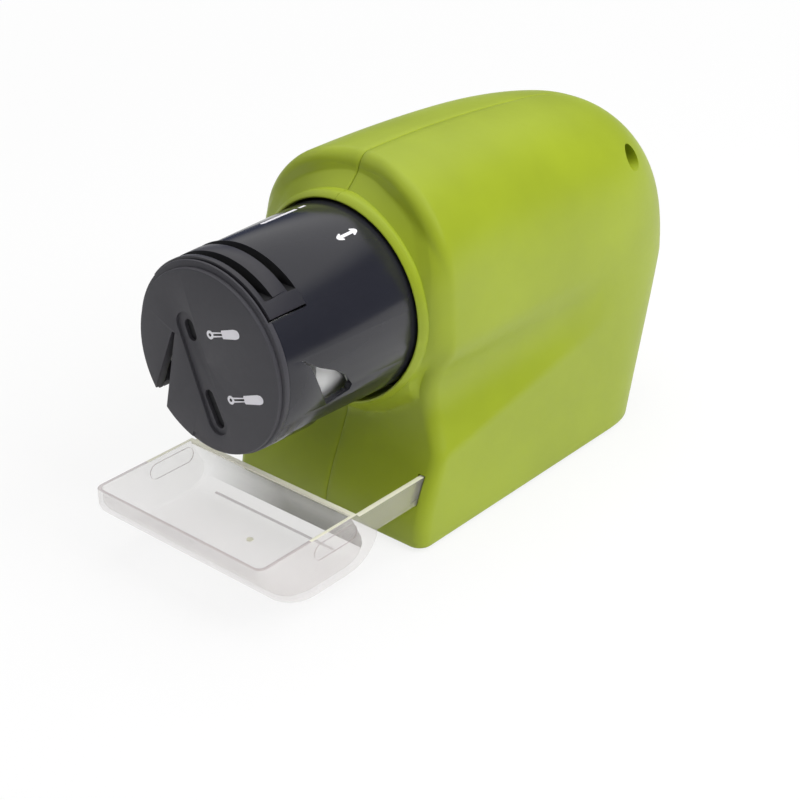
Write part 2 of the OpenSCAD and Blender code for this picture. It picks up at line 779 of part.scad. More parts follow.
// Switch, its plunger, the power button and its spring, on the left flank
module rod_x(r, x0, x1) {
    translate([x0, button_y, button_z]) rotate([0, 90, 0]) cylinder(h = x1 - x0, r = r, $fn = fine);
}
module switch_body() {
    color(black) difference() {
        block([-switch_x, button_y - switch_w / 2, button_z - switch_tall / 2],
            [-switch_x + switch_deep, button_y + switch_w / 2, button_z + switch_tall / 2]);
        rod_x(plunger_r + fit_gap, -switch_x - over, -switch_x + plunger_l + gap);
    }
}
module switch_plunger() {
    x0 = -stem_end_x + contact_gap;
    color("white") rod_x(plunger_r, x0, x0 + plunger_l);
}
module power_button() {
    color(black) difference() {
        union() {
            rod_x(button_r, -button_out_x, -flange_x);
            rod_x(button_flange_r, -flange_x, -flange_x + button_flange_t);
            rod_x(stem_r, -flange_x, -stem_end_x);
        }
        translate([-button_out_x - button_dish_r + button_dish, button_y, button_z])
            sphere(r = button_dish_r, $fn = fine);
    }
}
module button_spring() {
    x0 = -flange_x + button_flange_t + spring_wire_r + fit_gap;
    x1 = -switch_x - spring_wire_r - fit_gap;
    steps = spring_turns * turn_steps;
    color(steel) wire([for (i = [0:steps]) let (a = 360 * i / turn_steps)
        [mix(x0, x1, i / steps), button_y + spring_r * cos(a), button_z + spring_r * sin(a)]],
        spring_wire_r, [1, 0, 0]);
}

// Leads: a smooth curve through a few places, each given as steps from the terminal
lead_r = 0.8;
lead_steps = 5;
function lead_curve(p) = let (n = len(p), q = concat([2 * p[0] - p[1]], p, [2 * p[n - 1] - p[n - 2]]))
    concat([for (i = [1:n - 1]) for (j = [0:lead_steps - 1]) let (t = j / lead_steps)
        (2 * q[i] + (q[i + 1] - q[i - 1]) * t + (2 * q[i - 1] - 5 * q[i] + 4 * q[i + 1] - q[i + 2]) * t * t
         + (3 * q[i] - q[i - 1] - 3 * q[i + 1] + q[i + 2]) * t * t * t) / 2], [p[n - 1]]);
module lead(p) { wire(lead_curve(p), lead_r, [0.3, 0.2, 1]); }
box_tab_z = box_top + lead_r + contact_gap;
// Bends as shares of the reach: after the motor, before the switch, after it, before the box
lead_reach = 10;
tab_x = 7;
tab_from_button = 22;
switch_tab_step = 5;
red_out_shares = [[0, 0, 0], [0, 0.18, 0], [-0.4, 0.38, 0.2], [-0.9, 0.08, 0.5], [-1.1, -0.52, 0.7]];
red_in_shares = [[-0.1, 0.9, 0.1], [0, 0.3, 0], [0, 0, 0]];
red_low_shares = [[0, 0, 0], [0, 0.2, 0], [-0.2, 0.7, -0.3], [-0.1, 1.2, -1]];
red_tab_shares = [[-0.9, -0.2, 0.2], [-0.5, 0, 0], [0, 0, 0]];
black_out_shares = [[0, 0, 0], [0, 0.2, 0], [0.2, 0.6, -0.4], [0.3, 0.8, -1.1]];
black_tab_shares = [[0.1, 0.7, 0.2], [0, 0.3, 0], [0, 0, 0]];
function bends(from, shares) = [for (p = shares) from + p * lead_reach];
module red_leads() {
    t = [-terminal_x - contact_t / 2, cap_back + terminal_l + contact_gap, axis_z];
    switch_tab = [-switch_x + switch_deep / 2, button_y + switch_w / 2 + contact_gap, button_z];
    step = [0, 0, switch_tab_step];
    color("red") {
        lead(concat(bends(t, red_out_shares), bends(switch_tab + step, red_in_shares)));
        lead(concat(bends(switch_tab - step, red_low_shares),
            bends([-tab_x, button_y + tab_from_button, box_tab_z], red_tab_shares)));
    }
}
module black_lead() {
    t = [terminal_x + contact_t / 2, cap_back + terminal_l + contact_gap, axis_z];
    color(black) lead(concat(bends(t, black_out_shares),
        bends([tab_x, button_y + tab_from_button, box_tab_z], black_tab_shares)));
}

// Head: the barrel, the face plate and the knife guide let into its top
face_t = 2.4;
face_flat_in = 0.9;
face_flat_r = head_r - face_flat_in;
face_drop = 0.6;
face_step = 1.1;
guide_front = 1.6;
guide_back = 12.5;
guide_angle = 52;
guide_seam = 0.5;
guide_proud = 0.4;
guide_seam_angle = 1.2;
guide_deep = 5;
skirt_l = 15.2;
under_angle = 50;
function head_r_at(u) = mix(head_r, head_rear_r, u / head_l);
// Leaf-shaped windows in the sides of the head, as shares of its radius from the axis
window_shares = [[0.29, 0.21], [0.51, 0.06], [0.71, -0.04], [0.86, -0.15], [0.985, -0.31],
    [0.97, -0.37], [0.67, -0.43], [0.557, -0.24], [0.476, -0.08], [0.39, 0.12]];
// Scissor slot in the face, as shares of the head's radius, right to left
scissor_shares = [[-0.44, 0.16], [-0.48, 0.16], [-0.73, -0.8], [-0.54, -0.9]];
scissor_run_share = 1.4;
scissor_deep = 12;
channel_shares = [[-0.27, 0.3], [0.1, -0.65]];
channel_half = 2.9;
channel_deep = 0.7;
driver_half = 1.3;
upper_hole_shares = [[-0.26, 0.29], [-0.22, 0.19]];
lower_hole_shares = [[-0.03, -0.4], [0.1, -0.66]];

// A slot with round ends through the face, between two places given as shares
end_steps = 12;
module face_slot(ends, half, y0, y1) {
    a = head_r * ends[0];
    b = head_r * ends[1];
    turn = atan2(b[1] - a[1], b[0] - a[0]) - 90;
    translate([0, y1, axis_z]) rotate([90, 0, 0]) linear_extrude(y1 - y0)
        polygon([for (e = [[b, turn], [a, turn + 180]]) for (i = [0:end_steps])
            let (t = e[1] + 180 * i / end_steps) e[0] + half * [cos(t), sin(t)]]);
}
module scissor_cut() {
    translate([0, nose_y + scissor_deep, axis_z]) rotate([90, 0, 0]) linear_extrude(scissor_deep + over)
        polygon([for (p = scissor_shares) head_r * p * (p[1] < 0 ? scissor_run_share : 1)]);
}
// A sector of the head from y0 to y1 that opens up or down by the angle a to each side
module sector_y(a, y0, y1, up) {
    far = 3 * head_r;
    translate([0, y1, axis_z]) rotate([90, 0, 0]) linear_extrude(y1 - y0)
        polygon([[0, 0], [far * sin(a), up * far * cos(a)], [0, up * far],
            [-far * sin(a), up * far * cos(a)]]);
}
module head_barrel() {
    color(black) difference() {
        rod_y(head_r, nose_y + face_t, nose_y + head_l, r2 = head_rear_r);
        rod_y(head_r - head_wall, nose_y + face_t - fit_gap, nose_y + head_l + fit_gap,
            r2 = head_rear_r - head_wall);
        sector_y(under_angle, nose_y + skirt_l, nose_y + head_l + over, -1);
        translate([-head_r * 2, nose_y, axis_z]) rotate([90, 0, 90]) linear_extrude(head_r * 4)
            polygon(head_r * window_shares);
        scissor_cut();
        sector_y(guide_angle, nose_y + guide_front, nose_y + guide_back, 1);
    }
}
module face_plate() {
    color(black) difference() {
        union() {
            rod_y(face_flat_r, nose_y, nose_y + face_step + gap, 0, axis_z - face_drop);
            rod_y(head_r, nose_y + face_step, nose_y + face_t);
        }
        scissor_cut();
        face_slot(channel_shares, channel_half, nose_y - over, nose_y + channel_deep);
        face_slot(upper_hole_shares, driver_half, nose_y - over, nose_y + face_t + over);
        face_slot(lower_hole_shares, driver_half, nose_y - over, nose_y + face_t + over);
        difference() {
            sector_y(guide_angle, nose_y + guide_front, nose_y + guide_back, 1);
            rod_y(head_r - guide_deep, nose_y, nose_y + guide_back);
        }
    }
}
slot_from = 4.5;
slot_step = 6.4;
slot_mids = [nose_y + slot_from, nose_y + slot_from + slot_step];
slot_floor_share = 0.775;
module knife_guide() {
    color(black) difference() {
        intersection() {
            rod_y(head_r_at(guide_front) + guide_proud, nose_y + guide_front, nose_y + guide_back,
                r2 = head_r_at(guide_back) + guide_proud);
            sector_y(guide_angle - guide_seam_angle, nose_y + guide_front + guide_seam / 2,
                nose_y + guide_back - guide_seam / 2, 1);
        }
        rod_y(head_r - guide_deep, nose_y, nose_y + face_t);
        rod_y(wheel_r + gap * 3, nose_y + face_t - over, nose_y + guide_back + over);
        for (y = slot_mids)
            block([-head_r, y - slot_w / 2, axis_z + head_r * slot_floor_share],
                [head_r, y + slot_w / 2, axis_z + head_r + guide_proud + over]);
    }
}

// Filings tray: a scoop with sloping ends and two arms that run into the casing
tray_outer_shares = [[0, 1], [-0.01, 0.87], [0.03, 0.63], [0.11, 0.38], [0.21, 0.18], [0.31, 0.06],
    [0.43, 0], [0.79, 0.01], [0.89, 0.11], [0.96, 0.28], [1, 0.45], [0.93, 0.62], [0.81, 1]];
tray_l = 37;
tray_y = nose_y - tray_lead + gap;
tray_h = tray_rim_h - tray_low_h;
tray_z = base_z + tray_low_h;
tray_inner_shares = [[0.05, 1.2], [0.04, 0.87], [0.08, 0.66], [0.16, 0.41], [0.25, 0.24], [0.35, 0.14],
    [0.45, 0.1], [0.77, 0.1], [0.84, 0.18], [0.88, 0.32], [0.86, 0.6], [0.77, 1], [0.75, 1.2]];
module tray_prism(shares, half) {
    translate([-half, tray_y, tray_z]) rotate([90, 0, 90]) linear_extrude(half * 2)
        polygon([for (p = shares) [p[0] * tray_l, p[1] * tray_h]]);
}
tray_corner_r = 3;
module filings_tray() {
    color(clear) difference() {
        union() {
            tray_prism(tray_outer_shares, tray_w / 2);
            for (s = [-1, 1]) {
                block([s * (arm_x - arm_t), nose_y + tray_l / 2 - tray_wall, arm_low],
                    [s * arm_x, arm_back, arm_high]);
                block([s * (arm_x - arm_t - hook_t), arm_back - hook_l, arm_low],
                    [s * arm_x, arm_back, arm_high]);
            }
        }
        tray_prism(tray_inner_shares, tray_w / 2 - tray_wall);
        for (s = [-1, 1]) difference() {
            block([s * (arm_x - tray_corner_r), nose_y - tray_lead - over, tray_z - over],
                [s * (arm_x + over), nose_y - tray_lead + tray_corner_r, tray_z + tray_h + over]);
            translate([s * (arm_x - tray_corner_r), nose_y - tray_lead + tray_corner_r, tray_z - over * 2])
                cylinder(h = tray_h + over * 4, r = tray_corner_r, $fn = fine);
        }
    }
}

module case_screw() {
    color(steel) difference() {
        union() {
            translate([case_seat_x - case_screw_l, case_y, case_z]) rotate([0, 90, 0])
                cylinder(h = case_screw_l, r = pilot_r - fit_gap, $fn = fine);
            translate([case_seat_x, case_y, case_z]) rotate([0, 90, 0])
                cylinder(h = head_screw_t, r = head_screw_r, $fn = fine);
        }
        block([case_seat_x + head_screw_t - drive_slot_d, case_y - drive_slot_w / 2, case_z - head_screw_r],
            [case_seat_x + head_screw_t + over, case_y + drive_slot_w / 2, case_z + head_screw_r]);
    }
}
module base_screws() {
    color(steel) for (s = [-1, 1]) for (p = boss_places) difference() {
        union() {
            translate([s * p[0], p[1], base_z + head_screw_t])
                cylinder(h = base_screw_l - over, r = pilot_r - fit_gap, $fn = fine);
            translate([s * p[0], p[1], base_z]) cylinder(h = head_screw_t, r = head_screw_r, $fn = fine);
        }
        block([s * p[0] - drive_slot_w / 2, p[1] - head_screw_r, base_z - over],
            [s * p[0] + drive_slot_w / 2, p[1] + head_screw_r, base_z + drive_slot_d]);
    }
}

right_shell();
left_shell();
base_plate();
rubber_feet();
battery_door();
battery_box();
battery_cells();
battery_springs();
contact_plates();
motor_mount();
motor_can();
motor_end_cap();
motor_magnets();
front_bush();
rear_bush();
brushes();
motor_terminals();
motor_screws();
motor_shaft();
armature_core();
armature_windings();
commutator();
wheel_carrier();
grinding_wheel();
wheel_screw();
switch_body();
switch_plunger();
power_button();
button_spring();
red_leads();
black_lead();
head_barrel();
face_plate();
knife_guide();
filings_tray();
case_screw();
base_screws();
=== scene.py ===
"""Cordless electric knife sharpener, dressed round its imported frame."""

import json
import math

import bmesh
import bpy
import numpy as np
from mathutils import Matrix, Vector


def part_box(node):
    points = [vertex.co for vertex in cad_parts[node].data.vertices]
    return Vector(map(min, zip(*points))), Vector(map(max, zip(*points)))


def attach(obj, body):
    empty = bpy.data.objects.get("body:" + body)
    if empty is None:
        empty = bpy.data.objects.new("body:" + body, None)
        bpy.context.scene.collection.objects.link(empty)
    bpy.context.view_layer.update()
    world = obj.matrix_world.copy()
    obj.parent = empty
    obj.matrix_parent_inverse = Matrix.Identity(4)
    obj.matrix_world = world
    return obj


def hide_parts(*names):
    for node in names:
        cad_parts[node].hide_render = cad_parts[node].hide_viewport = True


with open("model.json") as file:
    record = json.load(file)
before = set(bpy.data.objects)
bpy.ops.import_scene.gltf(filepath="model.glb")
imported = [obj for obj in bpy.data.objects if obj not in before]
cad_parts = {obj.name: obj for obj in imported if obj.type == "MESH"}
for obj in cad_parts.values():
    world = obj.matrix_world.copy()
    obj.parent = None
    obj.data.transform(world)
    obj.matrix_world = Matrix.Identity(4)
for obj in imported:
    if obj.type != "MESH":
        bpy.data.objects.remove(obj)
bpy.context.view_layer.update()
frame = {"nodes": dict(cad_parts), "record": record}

MM = 0.001
LOW, HIGH = 0, 1


# Places that come from the frame, in millimetres
def box_mm(node):
    low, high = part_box(node)
    return np.array(low) / MM, np.array(high) / MM


def side_mm(node, end, axis):
    """One side of a node's box."""
    return float(box_mm(node)[end]["xyz".index(axis)])


def centre_mm(node):
    low, high = box_mm(node)
    return (low + high) / 2


NOSE_Y = side_mm("face_plate", LOW, "y")
BASE_Z = side_mm("right_shell", LOW, "z")
BODY_L = side_mm("right_shell", HIGH, "y") - NOSE_Y
AXIS_Z = float(centre_mm("motor_shaft")[2])
SHAFT_R = side_mm("motor_shaft", HIGH, "x")
HEAD_L = side_mm("head_barrel", HIGH, "y") - NOSE_Y
TRAY_HALF = side_mm("filings_tray", HIGH, "x")
TRAY_RIM = side_mm("filings_tray", HIGH, "z")
TRAY_LOW = side_mm("filings_tray", LOW, "z")
ARM_BACK = side_mm("filings_tray", HIGH, "y")
BUTTON_OUT = side_mm("power_button", LOW, "x")
BUTTON = centre_mm("power_button")
CASE_SCREW = centre_mm("case_screw")

# Gaps, overruns of cutters, and the pinhole that a turned solid keeps on its axis
GAP, OVER, FAR, PINHOLE = 0.3, 1.0, 80.0, 0.01

# Points this close are welded, edges this short dissolved, and a cosine this small is none
WELD, SLIVER, TINY = 0.002, 0.001, 1e-9

# A quarter turn, and the angles in degrees above which edges stay crisp or are rounded
QUARTER = 0.5 * math.pi
CRISP, CASING_CRISP, SOFT_FROM, TRAY_SOFT_FROM = 30, 32, 40, 50

# Casing form, as in the part: lengths in millimetres, shares of its length, powers of its outlines
BODY_W, BODY_H, CROWN_W, CROWN_FROM, BASE_L = 60.0, 86.0, 57.4, 41.4, 128.0
WALL, EDGE_R, CROWN_FALL, TOE, TOE_H, GRIP_DEEP, GRIP_CREASE = 2.2, 3.2, 8.0, 10.0, 32.0, 5.0, 1.3
HEAD_REACH, FRONT_LEAN, LEAN_FROM_SHARE = 45.0, 2.2, 0.81
BROW_DEEP, BROW_FROM, BROW_H, BROW_HALF, BROW_L = 2.2, 74.0, 12.0, 14.0, 20.0
SWELL_OUT, SWELL_RUN, SWELL_LOW, SWELL_START = 2.7, 4.2, 2.4, 0.9
SHOULDER_OUT, SHOULDER_MID, SHOULDER_HALF, SHOULDER_RUN, SHOULDER_L = 1.1, 70.0, 16.0, 6.0, 30.0
PLAN_POWER, PLAN_TOP_POWER, CROWN_X_POWER = 3.7, 2.4, 2.7
CROWN_Z_POWER, CROWN_Y_POWER, BACK_POWER = 3.0, 3.8, 1.12
TAPER_SHARE, TAPER_TOP_SHARE, PEAK_SHARE, GRIP_END_SHARE = 0.735, 0.62, 0.43, 0.74
GRIP_MID_REAR, GRIP_MID_FRONT, GRIP_HALF_REAR, GRIP_HALF_FRONT, GRIP_FADE = 39.0, 33.5, 7.0, 12.5, 0.8
MOUTH_R, MOUTH_OUT, MOUTH_IN = 23.7, 6.0, 9.0
FRONT_Y = NOSE_Y + HEAD_REACH

# How finely things are divided, the casing's foot, and the groove along its parting line
LOW_ROWS, TOP_ROWS, FACE_COLS, EDGE_COLS, SIDE_COLS, BACK_COLS = 42, 56, 22, 10, 34, 44
HEAD_STEPS, GUIDE_STEPS, FLAT_STEPS, COLLAR_STEPS, GATE_STEPS = 160, 104, 24, 72, 24
SLOT_STEPS, PILL_STEPS, CORNER_STEPS, DISH_STEPS = 16, 12, 9, 10
FOOT_EDGE, FOOT_SHARES = 0.8, (0, 0.006, 0.013, 0.02)
SEAM_HALF, SEAM_WIDE, SEAM_DEEP, SEAM_REACH = 0.05, 0.4, 0.16, 40.0
SEAM_CENTRE = (NOSE_Y + 88.0, BASE_Z + 42.0)

# Collar round the mouth, with its lip as steps out from the mouth, then in from its outside, and back
COLLAR_WALL, COLLAR_PROUD, COLLAR_ROOT = 1.5, 4.5, 3.2
LIP_INNER = [(0, 0.3), (0.12, 0.08), (0.35, 0), (0.6, 0.12)]
LIP_OUTER = [(0.15, 1.3), (0, 1.6)]

# Openings of the casing: slots for the tray's arms, the door's notch, the screw's recess, the button's hole
ARM_TOP, ARM_FOOT = 0.9, 7.1
ARM_HIGH, ARM_LOW = TRAY_RIM - ARM_TOP, TRAY_RIM - ARM_FOOT
SLOT_T, SLOT_END, NOTCH_FROM = 1.8, 3.2, 75.0
RECESS_R, RECESS_IN, HOLE_IN, SIDE_OUT = 3.0, 10.0, 20.0, 40.0
FLANGE_OUT = 1.3
BUTTON_R = (side_mm("power_button", HIGH, "y") - side_mm("power_button", LOW, "y")) / 2 - FLANGE_OUT

# Head, and its rounded edges as steps in from the radius and along
HEAD_R, HEAD_REAR_R, HEAD_WALL = 21.9, 23.4, 1.6
BARREL_FRONT, BARREL_REAR = [(0.3, 0), (0.08, 0.1)], [(0.15, 0.1), (0.4, 0)]
BARREL_FRONT_L, BARREL_REAR_L = 0.4, 0.5
FACE_T, FACE_IN, FACE_DROP, FACE_STEP, DISC_T = 2.4, 0.9, 0.6, 1.1, 1.75
FACE_EDGE, DISC_EDGE = [(0.45, 0), (0.12, 0.12), (0, 0.45)], [(0.5, 0), (0.15, 0.12), (0, 0.45)]
FLAT_R, FLAT_FAR, FLAT_DEEP, FLAT_TURN = 19.3, 26.0, 0.35, (168.0, 197.0)
GUIDE_FRONT, GUIDE_BACK, GUIDE_ANGLE, GUIDE_PROUD, GUIDE_DEEP = 1.6, 12.5, 52.0, 0.4, 5.0
GUIDE_GAP_FRONT, GUIDE_GAP_TURN, GUIDE_REAR_R = 0.5, 1.2, 19.1
SKIRT_L, UNDER_ANGLE, KEEP_L = 15.2, 50.0, 20.0
DRUM_EDGE, DRUM_REAR = [(0.8, 0), (0.2, 0.2), (0, 0.8)], [(0, 2), (0.6, 0.6), (2, 0)]
DRUM_GAP, DRUM_LEAD, DRUM_WALL, DRUM_FLOOR, DRUM_HUB = 0.9, 0.4, 2.6, 2.4, 4.0

# Openings of the head, in shares of its radius, and the half widths of the slots in millimetres
WINDOW = [(0.29, 0.21), (0.51, 0.06), (0.71, -0.04), (0.86, -0.15), (0.985, -0.31), (0.97, -0.37),
          (0.67, -0.43), (0.557, -0.24), (0.476, -0.08), (0.39, 0.12)]
SCISSOR_REACH, SCISSOR_DEEP = 1.4, 12.0
SCISSOR = [(-0.44, 0.16), (-0.48, 0.16), (-0.73 * SCISSOR_REACH, -0.8 * SCISSOR_REACH),
           (-0.54 * SCISSOR_REACH, -0.9 * SCISSOR_REACH)]
CHANNEL, CHANNEL_DEEP = ((-0.27, 0.3), (0.1, -0.65), 2.9), 0.7
UPPER_HOLE, LOWER_HOLE = ((-0.26, 0.29), (-0.22, 0.19), 1.3), ((-0.03, -0.4), (0.1, -0.66), 1.3)
# Black plugs of painted shade in the face's two holes: how deep they sit, and how much wider than the holes
# they are
SHADE_PLUG_FROM, SHADE_PLUG_TO, SHADE_PLUG_GROW = 1.5, 2.2, 0.25
SLOT_MIDS, SLOT_HALF, SLOT_FLOOR, SLOT_NEAR = (4.5, 10.9), 1.15, 0.775, 0.05
WINDOW_OUT, BLADE_OUT = 60.0, 30.0

# How much of an edge is rounded
BARREL_SOFT, FACE_SOFT, GUIDE_SOFT, TRAY_SOFT = 0.3, 0.22, 0.2, 0.3


def mix(a, b, s):
    return a + (b - a) * s


def clamp01(v):
    return min(max(v, 0.0), 1.0)


def smooth(v):
    c = clamp01(v)
    return c * c * (3 - 2 * c)


def rise(v, p):
    return 0.0 if v <= 0 else v**p


# Meshes
def new_object(name, verts, faces):
    """A mesh object from points in millimetres, welded, with its faces turned outward."""
    mesh = bpy.data.meshes.new(name)
    mesh.from_pydata([tuple(float(c) * MM for c in v) for v in verts], [], faces)
    bm = bmesh.new()
    bm.from_mesh(mesh)
    bmesh.ops.remove_doubles(bm, verts=bm.verts, dist=WELD * MM)
    bmesh.ops.dissolve_degenerate(bm, dist=SLIVER * MM, edges=bm.edges)
    bmesh.ops.recalc_face_normals(bm, faces=bm.faces)
    if bm.calc_volume(signed=True) < 0:
        bmesh.ops.reverse_faces(bm, faces=bm.faces)
    bm.to_mesh(mesh)
    bm.free()
    obj = bpy.data.objects.new(name, mesh)
    bpy.context.scene.collection.objects.link(obj)
    return obj


def settle(obj):
    """Applies an object's modifiers to its mesh."""
    bpy.context.view_layer.update()
    graph = bpy.context.evaluated_depsgraph_get()
    mesh = bpy.data.meshes.new_from_object(obj.evaluated_get(graph))
    old = obj.data
    obj.modifiers.clear()
    obj.data = mesh
    bpy.data.meshes.remove(old)


def carve(obj, cutters, how="DIFFERENCE"):
    """Cuts or adds other objects, which are then removed."""
    for cutter in cutters:
        mod = obj.modifiers.new("cut", "BOOLEAN")
        mod.operation = how
        mod.solver = "EXACT"
        mod.object = cutter
    settle(obj)
    for cutter in cutters:
        bpy.data.objects.remove(cutter)


def shade(obj, degrees=CASING_CRISP):
    """Smooth shading, with edges sharper than the angle kept crisp."""
    mesh = obj.data
    mesh.shade_smooth()
    mesh.set_sharp_from_angle(angle=math.radians(degrees))


def soften(obj, width, degrees=SOFT_FROM, segments=2):
    """Rounds the edges that are sharper than the angle."""
    mod = obj.modifiers.new("soften", "BEVEL")
    mod.width = width * MM
    mod.segments = segments
    mod.limit_method = "ANGLE"
    mod.angle_limit = math.radians(degrees)
    settle(obj)


def split_at(obj, axis, *places):
    """Divides a mesh's faces along planes across an axis."""
    k = "xyz".index(axis)
    bm = bmesh.new()
    bm.from_mesh(obj.data)
    for place in places:
        where, across = Vector((0, 0, 0)), Vector((0, 0, 0))
        where[k], across[k] = place * MM, 1.0
        geom = bm.verts[:] + bm.edges[:] + bm.faces[:]
        bmesh.ops.bisect_plane(bm, geom=geom, plane_co=where, plane_no=across)
    bm.to_mesh(obj.data)
    bm.free()


def lathe(name, profile, axis_xz, steps=128, turn=(0.0, 360.0)):
    """Turns a closed profile of (radius, y) points round an axis along Y."""
    full = turn[1] - turn[0] >= 360
    count = steps if full else steps + 1
    verts, faces = [], []
    m = len(profile)
    for i in range(count):
        a = math.radians(turn[0] + (turn[1] - turn[0]) * i / steps)
        for r, y in profile:
            verts.append((axis_xz[0] + r * math.sin(a), y, axis_xz[1] + r * math.cos(a)))
    for i in range(steps):
        n = (i + 1) % count if full else i + 1
        for j in range(m):
            k = (j + 1) % m
            faces.append((i * m + j, i * m + k, n * m + k, n * m + j))
    if not full:
        faces.append(tuple(range(m)))
        faces.append(tuple(reversed(range(steps * m, steps * m + m))))
    return new_object(name, verts, faces)


def prism(name, outline, axis, low, high):
    """A straight solid along an axis, whose outline has its points in the other two, in their order."""
    def place(p, t):
        return {"x": (t, p[0], p[1]), "y": (p[0], t, p[1]), "z": (p[0], p[1], t)}[axis]

    n = len(outline)
    verts = [place(p, low) for p in outline] + [place(p, high) for p in outline]
    faces = [tuple(range(n)), tuple(range(n, 2 * n))]
    faces += [(i, (i + 1) % n, n + (i + 1) % n, n + i) for i in range(n)]
    return new_object(name, verts, faces)


def block(name, low, high):
    return prism(name, corners(low[0], high[0], low[1], high[1]), "z", low[2], high[2])


# Outlines
def corners(a0, a1, b0, b1):
    """The corners of a rectangle, also as the profile of a ring."""
    return [(a0, b0), (a1, b0), (a1, b1), (a0, b1)]


def edge(r, u, steps, way=1):
    """A rounded edge at radius r and place u, from steps inward and along."""
    return [(r - a, u + way * b) for a, b in steps]


def arc(x, y, r, start, end, count):
    return [(x + r * math.cos(a), y + r * math.sin(a)) for a in np.linspace(start, end, count)]


def circle(x, y, r, steps=96):
    return arc(x, y, r, 0, 2 * math.pi, steps + 1)[:-1]


def round_bar(a, b, half, steps):
    """A bar with round ends from a to b."""
    turn = math.atan2(b[1] - a[1], b[0] - a[0])
    return (arc(b[0], b[1], half, turn - QUARTER, turn + QUARTER, steps + 1)
            + arc(a[0], a[1], half, turn + QUARTER, turn + 3 * QUARTER, steps + 1))


# Casing halves
def front_at(h):
    lean_from = LEAN_FROM_SHARE * BODY_H
    lean = FRONT_LEAN * clamp01((h - lean_from) / (BODY_H - lean_from)) ** 2
    return FRONT_Y - TOE * (1 - smooth(h / TOE_H)) + lean


def fall_at(y):
    """How far the top falls away before and behind its peak."""
    peak = NOSE_Y + PEAK_SHARE * BODY_L
    return CROWN_FALL * ((y - peak) / (NOSE_Y + BODY_L - peak)) ** 2


def grip_at(y, z):
    """How deep the grip hollow is in the flank."""
    end = NOSE_Y + GRIP_END_SHARE * BODY_L
    s = clamp01((end - y) / (end - FRONT_Y))
    v = (z - BASE_Z - mix(GRIP_MID_REAR, GRIP_MID_FRONT, s)) / mix(GRIP_HALF_REAR, GRIP_HALF_FRONT, s)
    return 0.0 if abs(v) >= 1 else GRIP_DEEP * s**GRIP_FADE * (1 - v * v) ** GRIP_CREASE


def brow_at(x, y, z):
    """How far the front face dips back over the head."""
    return (BROW_DEEP * smooth((z - BASE_Z - BROW_FROM) / BROW_H) * (1 - clamp01(x / BROW_HALF) ** 2) ** 2
            * (1 - smooth((y - FRONT_Y) / BROW_L)))


def swell_at(x, y, z):
    """How far the front face swells toward the lip round the head."""
    ring = math.hypot(x, z - AXIS_Z) - MOUTH_R - SWELL_START
    low = SWELL_LOW * smooth((AXIS_Z - z) / MOUTH_R)
    return (SWELL_OUT + low) * (1 - clamp01(ring / SWELL_RUN)) * (1 - smooth((y - FRONT_Y) / EDGE_R))


def shoulder_at(x, y, z):
    """How far the shoulders stand out beside the head."""
    v = min(abs(z - BASE_Z - SHOULDER_MID) / SHOULDER_HALF, 1)
    fade = 1 - smooth((y - FRONT_Y) / SHOULDER_L)
    return SHOULDER_OUT * clamp01(x / SHOULDER_RUN) * (1 - v * v) ** 2 * fade


def low_level(h, t, foot):
    """One level of the straight part, at a share h of its height, t inside the outer skin."""
    back = NOSE_Y + BODY_L - (BODY_L - BASE_L) * (1 - h) ** BACK_POWER
    return dict(half=mix(BODY_W, CROWN_W, h) / 2 - t - foot, z=BASE_Z + h * CROWN_FROM, back=back - t - foot,
                start=NOSE_Y + TAPER_SHARE * BODY_L, power=PLAN_POWER, nx=1.0, nz=0.0, s=0.0, foot=foot)


def top_level(a, t):
    """One level of the crown, at an angle a up its arch, t inside the outer skin."""
    c, s = math.cos(a), math.sin(a)
    if c < TINY:
        c = 0.0
    tall, half = BODY_H - CROWN_FROM - t, CROWN_W / 2 - t
    gx = rise(c, 2 - 2 / CROWN_X_POWER) * tall
    gz = rise(s, 2 - 2 / CROWN_Z_POWER) * half
    g = math.hypot(gx, gz)
    start = NOSE_Y + TAPER_SHARE * BODY_L
    return dict(half=half * rise(c, 2 / CROWN_X_POWER),
                z=BASE_Z + CROWN_FROM + tall * rise(s, 2 / CROWN_Z_POWER),
                back=start + (NOSE_Y + BODY_L - t - start) * rise(c, 2 / CROWN_Y_POWER),
                start=mix(start, NOSE_Y + TAPER_TOP_SHARE * BODY_L, s),
                power=mix(PLAN_POWER, PLAN_TOP_POWER, s), nx=gx / g, nz=gz / g, s=s, foot=0.0)


def near_middle(half, power):
    """Angles whose points lie close to the parting plane, so that the groove has points to follow."""
    if half <= SEAM_WIDE:
        return []
    return [math.acos((w / half) ** (power / 2)) for w in (SEAM_WIDE, SEAM_WIDE / 2)]


